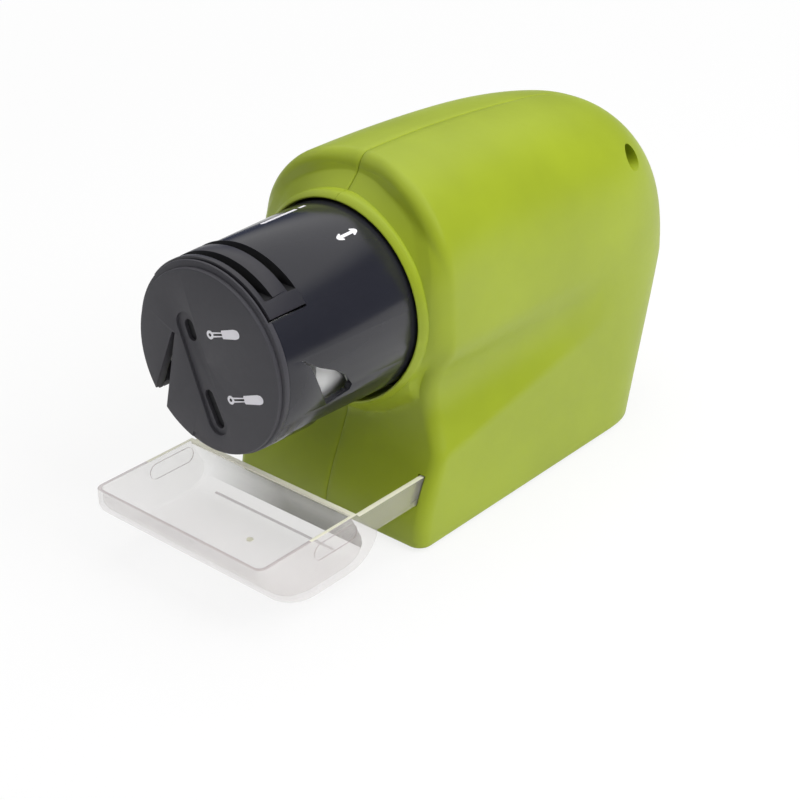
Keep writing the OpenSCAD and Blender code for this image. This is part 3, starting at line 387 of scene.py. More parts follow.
def level_points(lv, t):
    """Half a level, from the parting plane in front, round the front edge and flank, to the plane behind."""
    r = EDGE_R - t
    f = front_at(lv["z"] - BASE_Z - r * lv["nz"]) + t + lv["foot"]
    points = []

    def swell(x, y, z):
        return swell_at(x, y, z) if t == 0 else 0

    def put(x, y, z):
        points.append((max(x - grip_at(y, z) * lv["nx"] + shoulder_at(x, y, z), 0.0),
                       y + brow_at(x, y, z) - swell(x, y, z), z - lv["s"] * fall_at(y)))

    z = lv["z"] - r * lv["nz"]
    flat = max(lv["half"] - (r + grip_at(f + r, z)) * lv["nx"], 0.0)
    columns = [0.0, SEAM_WIDE / 2, SEAM_WIDE]
    columns += [mix(SEAM_WIDE, flat, i / FACE_COLS) for i in range(1, FACE_COLS)]
    for x in columns:
        x = min(x, flat)
        points.append((x, f + brow_at(x, f, z) - swell(x, f, z), z - lv["s"] * fall_at(f)))
    for i in range(EDGE_COLS):
        a = QUARTER * i / EDGE_COLS
        q = r * (1 - math.sin(a))
        put(max(lv["half"] - q * lv["nx"], 0.0), f + r * (1 - math.cos(a)), lv["z"] - q * lv["nz"])
    for i in range(SIDE_COLS):
        put(lv["half"], mix(f + r, lv["start"], i / SIDE_COLS), lv["z"])
    angles = [QUARTER * i / BACK_COLS for i in range(BACK_COLS)]
    angles += near_middle(lv["half"], lv["power"]) or [QUARTER] * 2
    angles.append(QUARTER)
    for a in sorted(angles):
        c = 0.0 if a > QUARTER - TINY else math.cos(a)
        put(lv["half"] * rise(c, 2 / lv["power"]),
            lv["start"] + (lv["back"] - lv["start"]) * rise(math.sin(a), 2 / lv["power"]), lv["z"])
    return points


def casing_skin(t):
    rows, last = [], len(FOOT_SHARES) - 1
    for k in range(LOW_ROWS + 1):
        foot = FOOT_EDGE * (1 - math.sin(QUARTER * min(k, last) / last)) if t == 0 else 0.0
        h = FOOT_SHARES[k] if k <= last else mix(FOOT_SHARES[last], 1, (k - last) / (LOW_ROWS - last))
        rows.append(level_points(low_level(h, t, foot), t))
    angles = [QUARTER * k / TOP_ROWS for k in range(1, TOP_ROWS)]
    angles += near_middle(CROWN_W / 2 - t, CROWN_X_POWER) + [QUARTER]
    for a in sorted(angles):
        rows.append(level_points(top_level(a, t), t))
    return rows


def groove(p):
    """Sinks a point beside the parting plane toward the middle of the casing."""
    w = clamp01(1 - p[0] / SEAM_WIDE)
    return (p[0] + (SEAM_HALF * w if p[0] < SEAM_HALF else 0),
            p[1] + (SEAM_CENTRE[0] - p[1]) / SEAM_REACH * SEAM_DEEP * w,
            p[2] + (SEAM_CENTRE[1] - p[2]) / SEAM_REACH * SEAM_DEEP * w)


def casing_half(name):
    """One half of the casing: outer and inner skins joined round the rim, with half the groove."""
    outer, inner = casing_skin(0.0), casing_skin(WALL)
    n, m = len(outer), len(outer[0])
    verts = [groove(p) for row in outer for p in row] + [p for row in inner for p in row]
    faces = []
    for o in (0, n * m):
        for k in range(n - 1):
            for j in range(m - 1):
                a, b = o + k * m + j, o + (k + 1) * m + j
                faces.append((a, a + 1, b + 1, b))
    ring = [k * m for k in range(n)] + [(n - 1) * m + j for j in range(1, m)]
    ring += [k * m + m - 1 for k in range(n - 2, -1, -1)] + list(range(m - 2, 0, -1))
    for i, a in enumerate(ring):
        b = ring[(i + 1) % len(ring)]
        faces.append((a, b, b + n * m, a + n * m))
    return new_object(name, verts, faces)


def mirrored(obj, name):
    """A copy of an object on the other side of the parting plane."""
    mesh = obj.data.copy()
    mesh.transform(Matrix.Scale(-1, 4, (1, 0, 0)))
    mesh.flip_normals()
    twin = bpy.data.objects.new(name, mesh)
    bpy.context.scene.collection.objects.link(twin)
    return twin


def half_collar():
    """The collar round the mouth, whose lower half leans forward."""
    r0, r1 = MOUTH_R, MOUTH_R + COLLAR_WALL
    y0, y1 = FRONT_Y - COLLAR_PROUD, FRONT_Y + COLLAR_ROOT
    lip = [(r0 + a, y0 + b) for a, b in LIP_INNER] + edge(r1, y0, LIP_OUTER) + [(r1, y1), (r0, y1)]
    collar = lathe("collar", lip, (SEAM_HALF, AXIS_Z), turn=(0.0, 180.0), steps=COLLAR_STEPS)
    for v in collar.data.vertices:
        if v.co.y < FRONT_Y * MM and v.co.z < AXIS_Z * MM:
            v.co.y -= SWELL_LOW * MM * smooth((AXIS_Z - v.co.z / MM) / MOUTH_R)
    return collar


def dress_casing():
    """Both halves: the right one is carved, copied across, and each then gets what it alone has."""
    shell = casing_half("casing_right")
    bore = corners(PINHOLE, MOUTH_R, FRONT_Y - MOUTH_OUT, FRONT_Y + MOUTH_IN)
    carve(shell, [lathe("bore", bore, (0, AXIS_Z))])
    carve(shell, [half_collar()], "UNION")
    door_half, door_top = side_mm("battery_door", HIGH, "x"), side_mm("battery_door", HIGH, "z")
    carve(shell, [
        block("slot", (TRAY_HALF - SLOT_T, FRONT_Y - TOE - OVER, ARM_LOW - GAP),
              (TRAY_HALF + GAP, FRONT_Y + SLOT_END, ARM_HIGH + GAP)),
        block("notch", (-OVER, FRONT_Y + NOTCH_FROM, BASE_Z - OVER),
              (door_half, NOSE_Y + BODY_L, door_top + GAP))])
    twin = mirrored(shell, "casing_left")
    recess = circle(CASE_SCREW[1], CASE_SCREW[2], RECESS_R)
    carve(shell, [prism("recess", recess, "x", RECESS_IN, SIDE_OUT)])
    hole = circle(BUTTON[1], BUTTON[2], BUTTON_R + GAP)
    carve(twin, [prism("hole", hole, "x", -SIDE_OUT, -HOLE_IN)])
    for obj in (shell, twin):
        shade(obj)
    return shell, twin


# Shader nodes
def add(tree, kind, inputs=None, **settings):
    """A new node, whose inputs each take a value or another node's output."""
    node = tree.nodes.new("ShaderNode" + kind)
    for key, value in settings.items():
        setattr(node, key, value)
    for key, value in (inputs or {}).items():
        plug(tree, node.inputs[key], value)
    return node.outputs


def plug(tree, socket, value):
    if isinstance(value, bpy.types.NodeSocket):
        tree.links.new(value, socket)
    else:
        socket.default_value = value


def ranged(tree, value, from_min, from_max, to_min, to_max, **settings):
    """A value carried from one range to another."""
    return add(tree, "MapRange", {"Value": value, "From Min": from_min, "From Max": from_max,
                                  "To Min": to_min, "To Max": to_max}, **settings)["Result"]


def ramp(tree, value, *stops):
    """A colour that goes from the first stop to the second, each a place and a colour."""
    node = tree.nodes.new("ShaderNodeValToRGB")
    for element, (place, color) in zip(node.color_ramp.elements, stops):
        element.position = place
        element.color = [*color, 1.0]
    plug(tree, node.inputs["Fac"], value)
    return node.outputs["Color"]


def either(tree, a, b):
    """Light path flags joined: 1 where one of them is."""
    return add(tree, "Math", {0: a, 1: b}, operation="MAXIMUM")["Value"]


# Materials: the grain and the wide mottling, what they vary, and how edge-on haze is judged
GRAIN_DETAIL, WIDE_DETAIL, WIDE_SHARE, GRAIN_DEEP = 4.0, 3.0, 18, 0.0002
TINT_FROM, TINT_TO, GLOSS_VARY, GLOSS_LEAST = 0.3, 0.7, 0.05, 0.02
EDGE_ON = 0.35


def srgb(r, g, b):
    """Linear colour from 0 to 255 values as a picture has them."""
    return [(c / 255 / 12.92 if c / 255 <= 0.04045 else ((c / 255 + 0.055) / 1.055) ** 2.4)
            for c in (r, g, b)]


def material(name, color, rough, bump=0.05, scale=900.0, vary=0.06, metallic=0.0):
    """A surface with slight mottling, uneven gloss and a fine grain, on object coordinates in metres."""
    mat = bpy.data.materials.new(name)
    mat.use_nodes = True
    tree = mat.node_tree
    place = add(tree, "TexCoord")["Object"]
    wide = add(tree, "TexNoise", {"Vector": place, "Scale": scale / WIDE_SHARE, "Detail": WIDE_DETAIL})
    grain = add(tree, "TexNoise", {"Vector": place, "Scale": scale, "Detail": GRAIN_DETAIL})
    dark, light = [c * (1 - vary) for c in color], [min(c * (1 + vary), 1.0) for c in color]
    relief = add(tree, "Bump", {"Strength": bump, "Distance": GRAIN_DEEP, "Height": grain["Fac"]})
    low, high = max(rough - GLOSS_VARY, GLOSS_LEAST), rough + GLOSS_VARY
    surface = {
        "Base Color": ramp(tree, wide["Fac"], (TINT_FROM, dark), (TINT_TO, light)),
        "Roughness": ranged(tree, grain["Fac"], 0, 1, low, high),
        "Normal": relief["Normal"],
        "Metallic": metallic,
    }
    for key, value in surface.items():
        plug(tree, tree.nodes["Principled BSDF"].inputs[key], value)
    return mat


def clear_material(name, color, rough=0.12):
    """Clear plastic with a gloss; how dense it is comes from one of the two functions below."""
    return material(name, color, rough, bump=0.015, vary=0.02)


def haze_edges(mat, thin, thick):
    """Makes a clear material hazy where it is seen edge on."""
    tree = mat.node_tree
    facing = add(tree, "LayerWeight", {"Blend": EDGE_ON})["Facing"]
    plug(tree, tree.nodes["Principled BSDF"].inputs["Alpha"], ranged(tree, facing, 0, 1, thin, thick))
    return mat


def fade_across(mat, x0, x1, thin, thick):
    """Makes a clear material denser from one side of the object to the other."""
    tree = mat.node_tree
    across = add(tree, "SeparateXYZ", {"Vector": add(tree, "TexCoord")["Object"]})["X"]
    alpha = ranged(tree, across, x0 * MM, x1 * MM, thin, thick)
    plug(tree, tree.nodes["Principled BSDF"].inputs["Alpha"], alpha)
    return mat


WHITE_MARK = material("white_mark", srgb(240, 238, 244), 0.5, bump=0.02, vary=0.02)
# Black, for the printed dots and bars on the marks, and as painted shade inside the face's holes and the
# guide's knife slots
BLACK_PRINT_AND_SHADE = material("black_print_and_shade", srgb(14, 14, 16), 0.7, bump=0.02)
GREEN = material("green_plastic", srgb(152, 168, 32), 0.42, bump=0.04)
HEAD = material("head_plastic", srgb(38, 38, 44), 0.17, bump=0.02)
FACE = material("face_plastic", srgb(62, 61, 66), 0.6, bump=0.05)
GUIDE = material("guide_plastic", srgb(44, 43, 48), 0.4, bump=0.03)
CLEAR = haze_edges(clear_material("clear_plastic", srgb(230, 223, 222)), 0.1, 0.4)
# Painted highlight where light catches the tray's top edges
CLEAR_HIGHLIGHT = haze_edges(clear_material("clear_painted_highlight", srgb(246, 244, 222), 0.2), 0.9, 0.97)
# Lines of painted highlight and shade on the tray's creases, front rim and pill edges
CLEAR_PAINTED_LINES = haze_edges(clear_material("clear_painted_lines", srgb(182, 170, 170), 0.2), 0.5, 0.75)
# Dark olive painted shade on the tray's rear wall, denser towards +x
CLEAR_WALL_SHADE = fade_across(clear_material("clear_wall_painted_shade", srgb(98, 98, 72)), -24.0, 2.0, 0.1, 0.78)
FINISHES = {
    "casing_green": GREEN,
    "foot_rubber": material("rubber", srgb(38, 38, 38), 0.85, bump=0.3),
    "black_plastic": material("black_plastic", srgb(34, 34, 36), 0.5),
    "cell_wrap": material("cell_film", srgb(70, 82, 96), 0.3),
    "bright_steel": material("plated_steel", srgb(196, 196, 200), 0.28, metallic=1.0),
    "magnet_grey": material("magnet", srgb(70, 70, 74), 0.6, metallic=0.6),
    "bush_bronze": material("bronze", srgb(190, 148, 96), 0.4, metallic=1.0),
    "copper": material("copper", srgb(198, 122, 82), 0.35, metallic=1.0),
    "pale_plastic": material("pale_plastic", srgb(226, 226, 226), 0.5),
    "wheel_stone": material("bonded_grit", srgb(214, 214, 212), 0.9, bump=0.6, scale=2500.0, vary=0.12),
    "head_grey": HEAD,
    "lead_red": material("red_insulation", srgb(170, 34, 26), 0.45),
    "lead_black": material("black_insulation", srgb(28, 28, 28), 0.45),
    "tray_clear": CLEAR,
}
for part in frame["record"]["subparts"]:
    node = frame["nodes"][part["node"]]
    node.data.materials.clear()
    node.data.materials.append(FINISHES[part["material_slot"]])
    shade(node)


# Pieces
def dress(obj, body, node, slot, *mats):
    """Gives a piece its surfaces, ties it to the body, and hides the node that it stands for."""
    places = [poly.material_index for poly in obj.data.polygons]
    obj.data.materials.clear()
    for mat in mats or [FINISHES[slot]]:
        obj.data.materials.append(mat)
    obj.data.polygons.foreach_set("material_index", places)
    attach(obj, body)
    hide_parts(node)


for shell, node in zip(dress_casing(), ("right_shell", "left_shell")):
    dress(shell, "casing", node, "casing_green")


# Head: barrel, face, knife guide and the drum inside it
def head_r_at(u):
    return mix(HEAD_R, HEAD_REAR_R, u / HEAD_L)


def on_head(p):
    """A place given in shares of the head's radius, across and up from its axis."""
    return HEAD_R * p[0], AXIS_Z + HEAD_R * p[1]


def sector(name, angle, u0, u1, up):
    """A wedge about the head's axis, up or down, between two places along it."""
    a = math.radians(angle)
    side = (FAR * math.sin(a), AXIS_Z + up * FAR * math.cos(a))
    outline = [(0, AXIS_Z), side, (0, AXIS_Z + up * FAR), (-side[0], side[1])]
    return prism(name, outline, "y", NOSE_Y + u0, NOSE_Y + u1)


def face_slot(name, slot, u0, u1, grow=0.0):
    """A slot with round ends, from the face inward."""
    outline = round_bar(on_head(slot[0]), on_head(slot[1]), slot[2] + grow, SLOT_STEPS)
    return prism(name, outline, "y", NOSE_Y + u0, NOSE_Y + u1)


def scissor_cutter():
    return prism("scissor", [on_head(p) for p in SCISSOR], "y", NOSE_Y - OVER, NOSE_Y + SCISSOR_DEEP)


def axis_lathe(name, profile, drop=0.0, **more):
    """Turns (radius, distance from the nose) round the head's axis, or one a little lower."""
    return lathe(name, [(r, NOSE_Y + u) for r, u in profile], (0, AXIS_Z - drop), **more)


def dress_barrel():
    front, rear = FACE_T + BARREL_FRONT_L, HEAD_L - BARREL_REAR_L
    profile = [(HEAD_R - HEAD_WALL, FACE_T), *edge(HEAD_R, FACE_T, BARREL_FRONT),
               (head_r_at(front), front), (head_r_at(rear), rear),
               *edge(HEAD_REAR_R, HEAD_L, BARREL_REAR, -1), (HEAD_REAR_R - HEAD_WALL, HEAD_L)]
    barrel = axis_lathe("barrel", profile, steps=HEAD_STEPS)
    outline = [(NOSE_Y + HEAD_R * p[0], AXIS_Z + HEAD_R * p[1]) for p in WINDOW]
    carve(barrel, [sector("under", UNDER_ANGLE, SKIRT_L, HEAD_L + OVER, -1),
                   prism("window", outline, "x", -WINDOW_OUT, WINDOW_OUT), scissor_cutter(),
                   sector("opening", GUIDE_ANGLE, GUIDE_FRONT, GUIDE_BACK, 1)])
    soften(barrel, BARREL_SOFT)
    shade(barrel, CRISP)
    return barrel


def dress_face():
    plate = [(2 * PINHOLE, FACE_STEP), *edge(HEAD_R, FACE_STEP, FACE_EDGE),
             (HEAD_R, FACE_T), (2 * PINHOLE, FACE_T)]
    face = axis_lathe("face", plate, steps=HEAD_STEPS)
    r = HEAD_R - FACE_IN
    disc = [(PINHOLE, 0), *edge(r, 0, DISC_EDGE), (r, DISC_T), (PINHOLE, DISC_T)]
    carve(face, [axis_lathe("disc", disc, FACE_DROP, steps=HEAD_STEPS)], "UNION")
    ring = sector("ring", GUIDE_ANGLE, GUIDE_FRONT, GUIDE_BACK, 1)
    carve(ring, [axis_lathe("keep", corners(PINHOLE, HEAD_R - GUIDE_DEEP, 0, KEEP_L))])
    flat = corners(FLAT_R, FLAT_FAR, -OVER, FLAT_DEEP)
    carve(face, [scissor_cutter(), face_slot("channel", CHANNEL, -OVER, CHANNEL_DEEP),
                 face_slot("upper", UPPER_HOLE, -OVER, FACE_T + OVER),
                 face_slot("lower", LOWER_HOLE, -OVER, FACE_T + OVER),
                 axis_lathe("flat", flat, FACE_DROP, turn=FLAT_TURN, steps=FLAT_STEPS), ring])
    soften(face, FACE_SOFT)
    shade(face, CRISP)
    return face


def dress_guide():
    front, back = GUIDE_FRONT + GUIDE_GAP_FRONT, GUIDE_BACK - GAP
    inner, turn = HEAD_R - GUIDE_DEEP, GUIDE_ANGLE - GUIDE_GAP_TURN
    profile = [(inner, front), (head_r_at(front) + GUIDE_PROUD, front), (head_r_at(back) + GUIDE_PROUD, back),
               (GUIDE_REAR_R, back), (GUIDE_REAR_R, FACE_T), (inner, FACE_T)]
    guide = axis_lathe("guide", profile, turn=(-turn, turn), steps=GUIDE_STEPS)
    floor_z = AXIS_Z + HEAD_R * SLOT_FLOOR
    carve(guide, [block("slot", (-BLADE_OUT, NOSE_Y + m - SLOT_HALF, floor_z),
                        (BLADE_OUT, NOSE_Y + m + SLOT_HALF, floor_z + BLADE_OUT)) for m in SLOT_MIDS])
    soften(guide, GUIDE_SOFT)
    shade(guide, CRISP)
    # Faces inside the knife slots take the black material: painted shade in the slots
    for poly in guide.data.polygons:
        c = poly.center / MM
        in_slot = any(abs(c.y - NOSE_Y - m) < SLOT_HALF + SLOT_NEAR for m in SLOT_MIDS)
        poly.material_index = 1 if in_slot and math.hypot(c.x, c.z - AXIS_Z) < HEAD_R else 0
    return guide


def dress_drum():
    """The drum that carries the wheel, seen through the side windows."""
    front, back = GUIDE_BACK + DRUM_LEAD, side_mm("wheel_carrier", HIGH, "y") - NOSE_Y
    r = HEAD_R - HEAD_WALL - DRUM_GAP
    bowl, floor_u = r - DRUM_WALL, front + DRUM_FLOOR
    drum = axis_lathe("drum", [
        (SHAFT_R, front), *edge(r, front, DRUM_EDGE), *edge(r, back, DRUM_REAR, -1), (bowl, back),
        (bowl, floor_u), (DRUM_HUB, floor_u), (DRUM_HUB, back), (SHAFT_R, back)])
    shade(drum, CRISP)
    return drum


dress(dress_barrel(), "head", "head_barrel", "head_grey")
dress(dress_face(), "head", "face_plate", "head_grey", FACE)
# Black plugs a little way inside the face's two holes: painted shade in them
for n, slot in enumerate((UPPER_HOLE, LOWER_HOLE)):
    shade_plug = face_slot("slot_shade_plug_%d" % n, slot, SHADE_PLUG_FROM, SHADE_PLUG_TO, SHADE_PLUG_GROW)
    dress(shade_plug, "head", "face_plate", "head_grey", BLACK_PRINT_AND_SHADE)
dress(dress_guide(), "head", "knife_guide", "head_grey", GUIDE, BLACK_PRINT_AND_SHADE)
dress(dress_drum(), "rotor", "wheel_carrier", "pale_plastic")

# Marks on the head and the button, each a thin plate on the surface: millimetres, shares of a
# screwdriver's length or grip, and turns in degrees
MARK_UP, MARK_IN, DOT_UP = 0.03, 0.05, 0.02
DRIVER_TIP_R, DRIVER_NECK, DRIVER_GRIP, DRIVER_DOT_R = 1.0, 0.5, 1.1, 0.38
DRIVER_NECK_END, DRIVER_MID, DRIVER_GRIP_FROM = 0.46, 0.47, 0.48
GRIP_SHOULDER, GRIP_ROUND_FROM, GRIP_ROUND_L, GRIP_ROUND_W = 0.85, 1.3, 1.1, 0.95
TIP_OPEN, BAR_FROM, BAR_NARROW, BAR_WIDE = (35, 325), 2.1, 0.2, 0.24
DRIVERS = {"driver_mark_upper": ((0.5, 6.2), (10.2, 9.3)), "driver_mark_lower": ((5.8, -7.4), (16.4, -3.7))}
ARROW_TURN, ARROW_MID, ARROW_FROM, ARROW_TO = 25.3, 33.5, 30.3, 36.6
HALF_ARROW = [(0, 0), (0.3, 0.5), (1.5, 1.05), (1.75, 0.85), (1.5, 0.4)]
KNIFE_TURN, KNIFE_MID, KNIFE_FROM, KNIFE_TO, KNIFE_LEAN = -17.6, 29, 23.8, 34.1, 1.1
DISH, DISH_R, SIGN_R, SIGN_HALF, SIGN_BAR, SIGN_OPEN = 0.7, 40.0, 2.6, 0.28, (0.6, 3.4), (125, 415)


def mark(name, outlines, place, body, node, slot, mat):
    """Flat outlines in (s, t) carried onto a surface by place(s, t, lift)."""
    verts, faces = [], []
    for outline in outlines:
        n, o = len(outline), len(verts)
        verts += [place(s, t, lift) for lift in (MARK_UP, -MARK_IN) for s, t in outline]
        faces += [tuple(range(o, o + n)), tuple(range(o + n, o + 2 * n))]
        faces += [(o + i, o + (i + 1) % n, o + n + (i + 1) % n, o + n + i) for i in range(n)]
    dress(new_object(name, verts, faces), body, node, slot, mat)


def on_line(a, b, at):
    """The length from a to b, and what carries (s, t) along and across that line onto a surface."""
    d = np.array(b, float) - np.array(a, float)
    length = float(np.hypot(*d))
    d /= length
    return length, lambda s, t, lift: at(a[0] + d[0] * s - d[1] * t, a[1] + d[1] * s + d[0] * t, lift)


def on_face(x, z, lift):
    return (x, NOSE_Y - lift, AXIS_Z + z)


def on_barrel(round_it, u, lift):
    r = head_r_at(u)
    a = round_it / r
    return ((r + lift) * math.sin(a), NOSE_Y + u, AXIS_Z + (r + lift) * math.cos(a))


def on_button(s, t, lift):
    return (BUTTON_OUT + DISH - (s * s + t * t) / (2 * DISH_R) - lift, BUTTON[1] + s, BUTTON[2] + t)


def driver_mark(name, a, b):
    """A small screwdriver: a round tip with a dot, a thin shaft and a broad handle."""
    length, place = on_line(a, b, on_face)
    tip, grip = DRIVER_TIP_R, DRIVER_GRIP
    lower = [(length * DRIVER_NECK_END, -DRIVER_NECK), (length * DRIVER_GRIP_FROM, -grip * GRIP_SHOULDER),
             (length - grip * GRIP_ROUND_FROM, -grip)]
    outline = arc(tip, 0, tip, *(math.radians(a) for a in TIP_OPEN), 21) + lower
    third = math.pi / 3
    outline += [(length - grip * GRIP_ROUND_L * (1 - c), grip * GRIP_ROUND_W * s)
                for c, s in arc(0, 0, 1, -third, third, 9)]
    outline += [(s, -t) for s, t in reversed(lower)]
    mark(name, [outline], place, "head", "face_plate", "head_grey", WHITE_MARK)
    start, middle = tip * BAR_FROM, length * DRIVER_MID
    bar = [(start, -BAR_NARROW), (middle, -BAR_WIDE), (middle, BAR_WIDE), (start, BAR_NARROW)]
    raised = lambda s, t, lift: place(s, t, lift + DOT_UP)
    mark(name + "_dot", [circle(tip, 0, DRIVER_DOT_R, 16), bar], raised,
         "head", "face_plate", "head_grey", BLACK_PRINT_AND_SHADE)


def pull_mark():
    """A double arrow along the barrel."""
    across = math.radians(ARROW_TURN) * head_r_at(ARROW_MID)
    length, place = on_line((across, ARROW_FROM), (across, ARROW_TO), on_barrel)
    arrow = HALF_ARROW + [(length - s, t) for s, t in reversed(HALF_ARROW)]
    arrow += [(length - s, -t) for s, t in HALF_ARROW[1:]] + [(s, -t) for s, t in reversed(HALF_ARROW[1:])]
    mark("pull_mark", [arrow], place, "head", "head_barrel", "head_grey", WHITE_MARK)


def knife_mark():
    """A knife on the barrel: a blade, and a handle apart from it."""
    across = math.radians(KNIFE_TURN) * head_r_at(KNIFE_MID)
    length, place = on_line((across, KNIFE_FROM), (across + KNIFE_LEAN, KNIFE_TO), on_barrel)
    blade = [(0, -0.5), (0.8, -0.95), (length, -0.55), (length, 0.55), (0.5, 0.35)]
    handle = [(length + 0.9, -0.5), (length + 2.6, -0.45), (length + 2.6, 0.45), (length + 0.9, 0.5)]
    mark("knife_mark", [blade, handle], place, "head", "head_barrel", "head_grey", WHITE_MARK)


def power_sign():
    """A ring that is open at the top, and a bar."""
    start, end = (math.radians(a) for a in SIGN_OPEN)
    ring = arc(0, 0, SIGN_R + SIGN_HALF, start, end, 49) + arc(0, 0, SIGN_R - SIGN_HALF, end, start, 49)
    mark("power_sign", [ring, corners(-SIGN_HALF, SIGN_HALF, *SIGN_BAR)], on_button,
         "button", "power_button", "head_grey", WHITE_MARK)


for name, (a, b) in DRIVERS.items():
    driver_mark(name, a, b)
pull_mark()
knife_mark()
power_sign()

# Power button, with its edge as steps in from the radius and along. Its length takes in the part's stem
BUTTON_SINK, BUTTON_REAR, FLANGE_T, FLANGE_W = 0.02, 0.05, 1.15, 1.25
BUTTON_L = side_mm("power_button", HIGH, "x") - BUTTON_OUT - BUTTON_REAR
BUTTON_EDGE, DISH_IN = [(0.2, 0.06), (0.05, 0.2), (0, 0.4)], 0.55


def dress_button():
    """The button: a dished cap, flanged at its inner end, that also stands for the stem."""
    dish = [(r, DISH - r * r / (2 * DISH_R)) for r in np.linspace(PINHOLE, BUTTON_R - DISH_IN, DISH_STEPS)]
    neck, flange_r = BUTTON_L - FLANGE_T, BUTTON_R + FLANGE_W
    profile = dish + edge(BUTTON_R, 0, BUTTON_EDGE)
    profile += [(BUTTON_R, neck), (flange_r, neck), (flange_r, BUTTON_L), (PINHOLE, BUTTON_L)]
    cap = lathe("button", [(r, d + BUTTON_SINK) for r, d in profile], (0, 0))
    cap.data.transform(Matrix.Translation((BUTTON_OUT * MM, BUTTON[1] * MM, BUTTON[2] * MM))
                       @ Matrix.Rotation(-QUARTER, 4, "Z"))
    shade(cap)
    return cap


dress(dress_button(), "button", "power_button", "head_grey", FACE)

# Filings tray: a scoop with two arms, a clear skin with painted highlights on its rims, painted lines of
# highlight and shade, and painted shade on its rear wall; its outlines are shares of its size
TRAY_LEAD, TRAY_L, TRAY_WALL, TRAY_CORNER, TRAY_IN_CORNER = 12.5, 37.0, 0.9, 2.4, 0.7
PLAN_BELOW, PLAN_ABOVE = 5, 9
TRAY_H = TRAY_RIM - TRAY_LOW
TRAY_Y = NOSE_Y - TRAY_LEAD
TRAY_OUTER = [(0, 1), (-0.008, 0.87), (0.012, 0.70), (0.05, 0.52), (0.10, 0.38), (0.16, 0.26), (0.23, 0.15),
              (0.31, 0.06), (0.38, 0.015), (0.45, 0), (0.72, 0), (0.79, 0.015), (0.85, 0.06), (0.90, 0.13),
              (0.94, 0.22), (0.97, 0.31), (0.99, 0.39), (0.992, 0.46), (0.975, 0.53), (0.93, 0.63), (0.81, 1)]
TRAY_INNER = [(0.022, 1.2), (0.018, 0.87), (0.04, 0.71), (0.078, 0.54), (0.13, 0.41), (0.19, 0.30),
              (0.26, 0.20), (0.35, 0.14), (0.41, 0.105), (0.46, 0.1), (0.74, 0.1), (0.80, 0.13),
              (0.84, 0.19), (0.87, 0.28), (0.88, 0.36), (0.87, 0.5), (0.83, 0.7), (0.775, 1), (0.75, 1.2)]
ARM_FROM, ARM_T, HOOK_L, HOOK_T, HOOK_LAP = NOSE_Y + 12.5, 1.3, 2.4, 1.4, 0.2
PILL_U, PILL_H, PILL_L, PILL_HALF, PILL_DEEP, PILL_OUT = 10.7, 13.5, 13.6, 2.0, 0.35, 2
GATE_X, GATE_U, GATE_H = 1.3, 8.6, 0.1
GATE = [(PINHOLE, 0), (0.75, 0), (0.85, 0.12), (0.8, 0.22), (PINHOLE, 0.22)]

# Where the tray's painted highlights, lines and shade change: millimetres, then shares of its length and
# height
RIM_CHANGE, LINE_HALF = 3.0, 19.0
LINE_FROM, LINE_TO, RIM_LOW = 0.765, 0.815, 0.94
TOP_LOW, ARM_ROOT, LINE_NEAR, LINE_HIGH = 0.93, 0.84, 0.8, 0.2
WALL_FROM, WALL_TO, WALL_LOW = 0.75, 0.92, 0.28

# Limits on a face's normal, and how far a face may lie from the form it belongs to
FACING, LEANING, SIDEWAYS = 0.5, 0.1, 0.9
NEAR_WALL, NEAR_ARM, NEAR_PILL = 0.1, 0.5, 0.4


def tray_skin(name, outline, half, corner):
    """A prism of the tray's profile whose front corners are round in plan."""
    profile = [(TRAY_Y + p[0] * TRAY_L, TRAY_LOW + p[1] * TRAY_H) for p in outline]
    body = prism(name, profile, "x", -half, half)
    front = TRAY_Y + min(p[0] for p in outline) * TRAY_L
    plan = [(half, front + FAR), (-half, front + FAR)]
    for side, start in ((-1, math.pi), (1, 3 * QUARTER)):
        plan += arc(side * (half - corner), front + corner, corner, start, start + QUARTER, CORNER_STEPS)
    carve(body, [prism("plan", plan, "z", TRAY_LOW - PLAN_BELOW, TRAY_RIM + PLAN_ABOVE)], "INTERSECT")
    return body


def tray_face(poly):
    """Which of the tray's surfaces a face has: 0 clear, 1 painted highlight on rims, 2 painted line of
    highlight and shade, 3 painted shade on the rear wall.
    """
    c, n = poly.center / MM, poly.normal
    s, t = (c.y - TRAY_Y) / TRAY_L, (c.z - TRAY_LOW) / TRAY_H
    inside = abs(c.x) < TRAY_HALF - TRAY_WALL - NEAR_WALL
    top = n.z > FACING
    # Upward faces of the arms and the rim take the painted highlight, those at the very front the painted
    # lines
    if s > ARM_ROOT and top and c.z > ARM_HIGH - NEAR_ARM and not inside:
        return 1
    if top and t > TOP_LOW:
        return 1 if c.y > NOSE_Y + RIM_CHANGE else 2
    # A forward-facing band on the floor's rear slope takes the painted lines
    if inside and LINE_NEAR < s < LINE_TO and t < LINE_HIGH and n.y < -LEANING and abs(c.x) < LINE_HALF:
        return 2
    # The rear wall's inner face takes the painted shade, its top the painted highlight
    if inside and WALL_FROM < s < WALL_TO and t >= WALL_LOW and n.y < -FACING:
        return 1 if t > RIM_LOW else 3
    # The pill recesses' edges take the painted lines too
    in_pill = (abs(c.y - NOSE_Y - PILL_U) < PILL_L / 2 + NEAR_PILL
               and abs(c.z - BASE_Z - PILL_H) < PILL_HALF + NEAR_PILL)
    return 2 if in_pill and abs(n.x) < SIDEWAYS and abs(c.x) > TRAY_HALF - PILL_DEEP - NEAR_WALL else 0


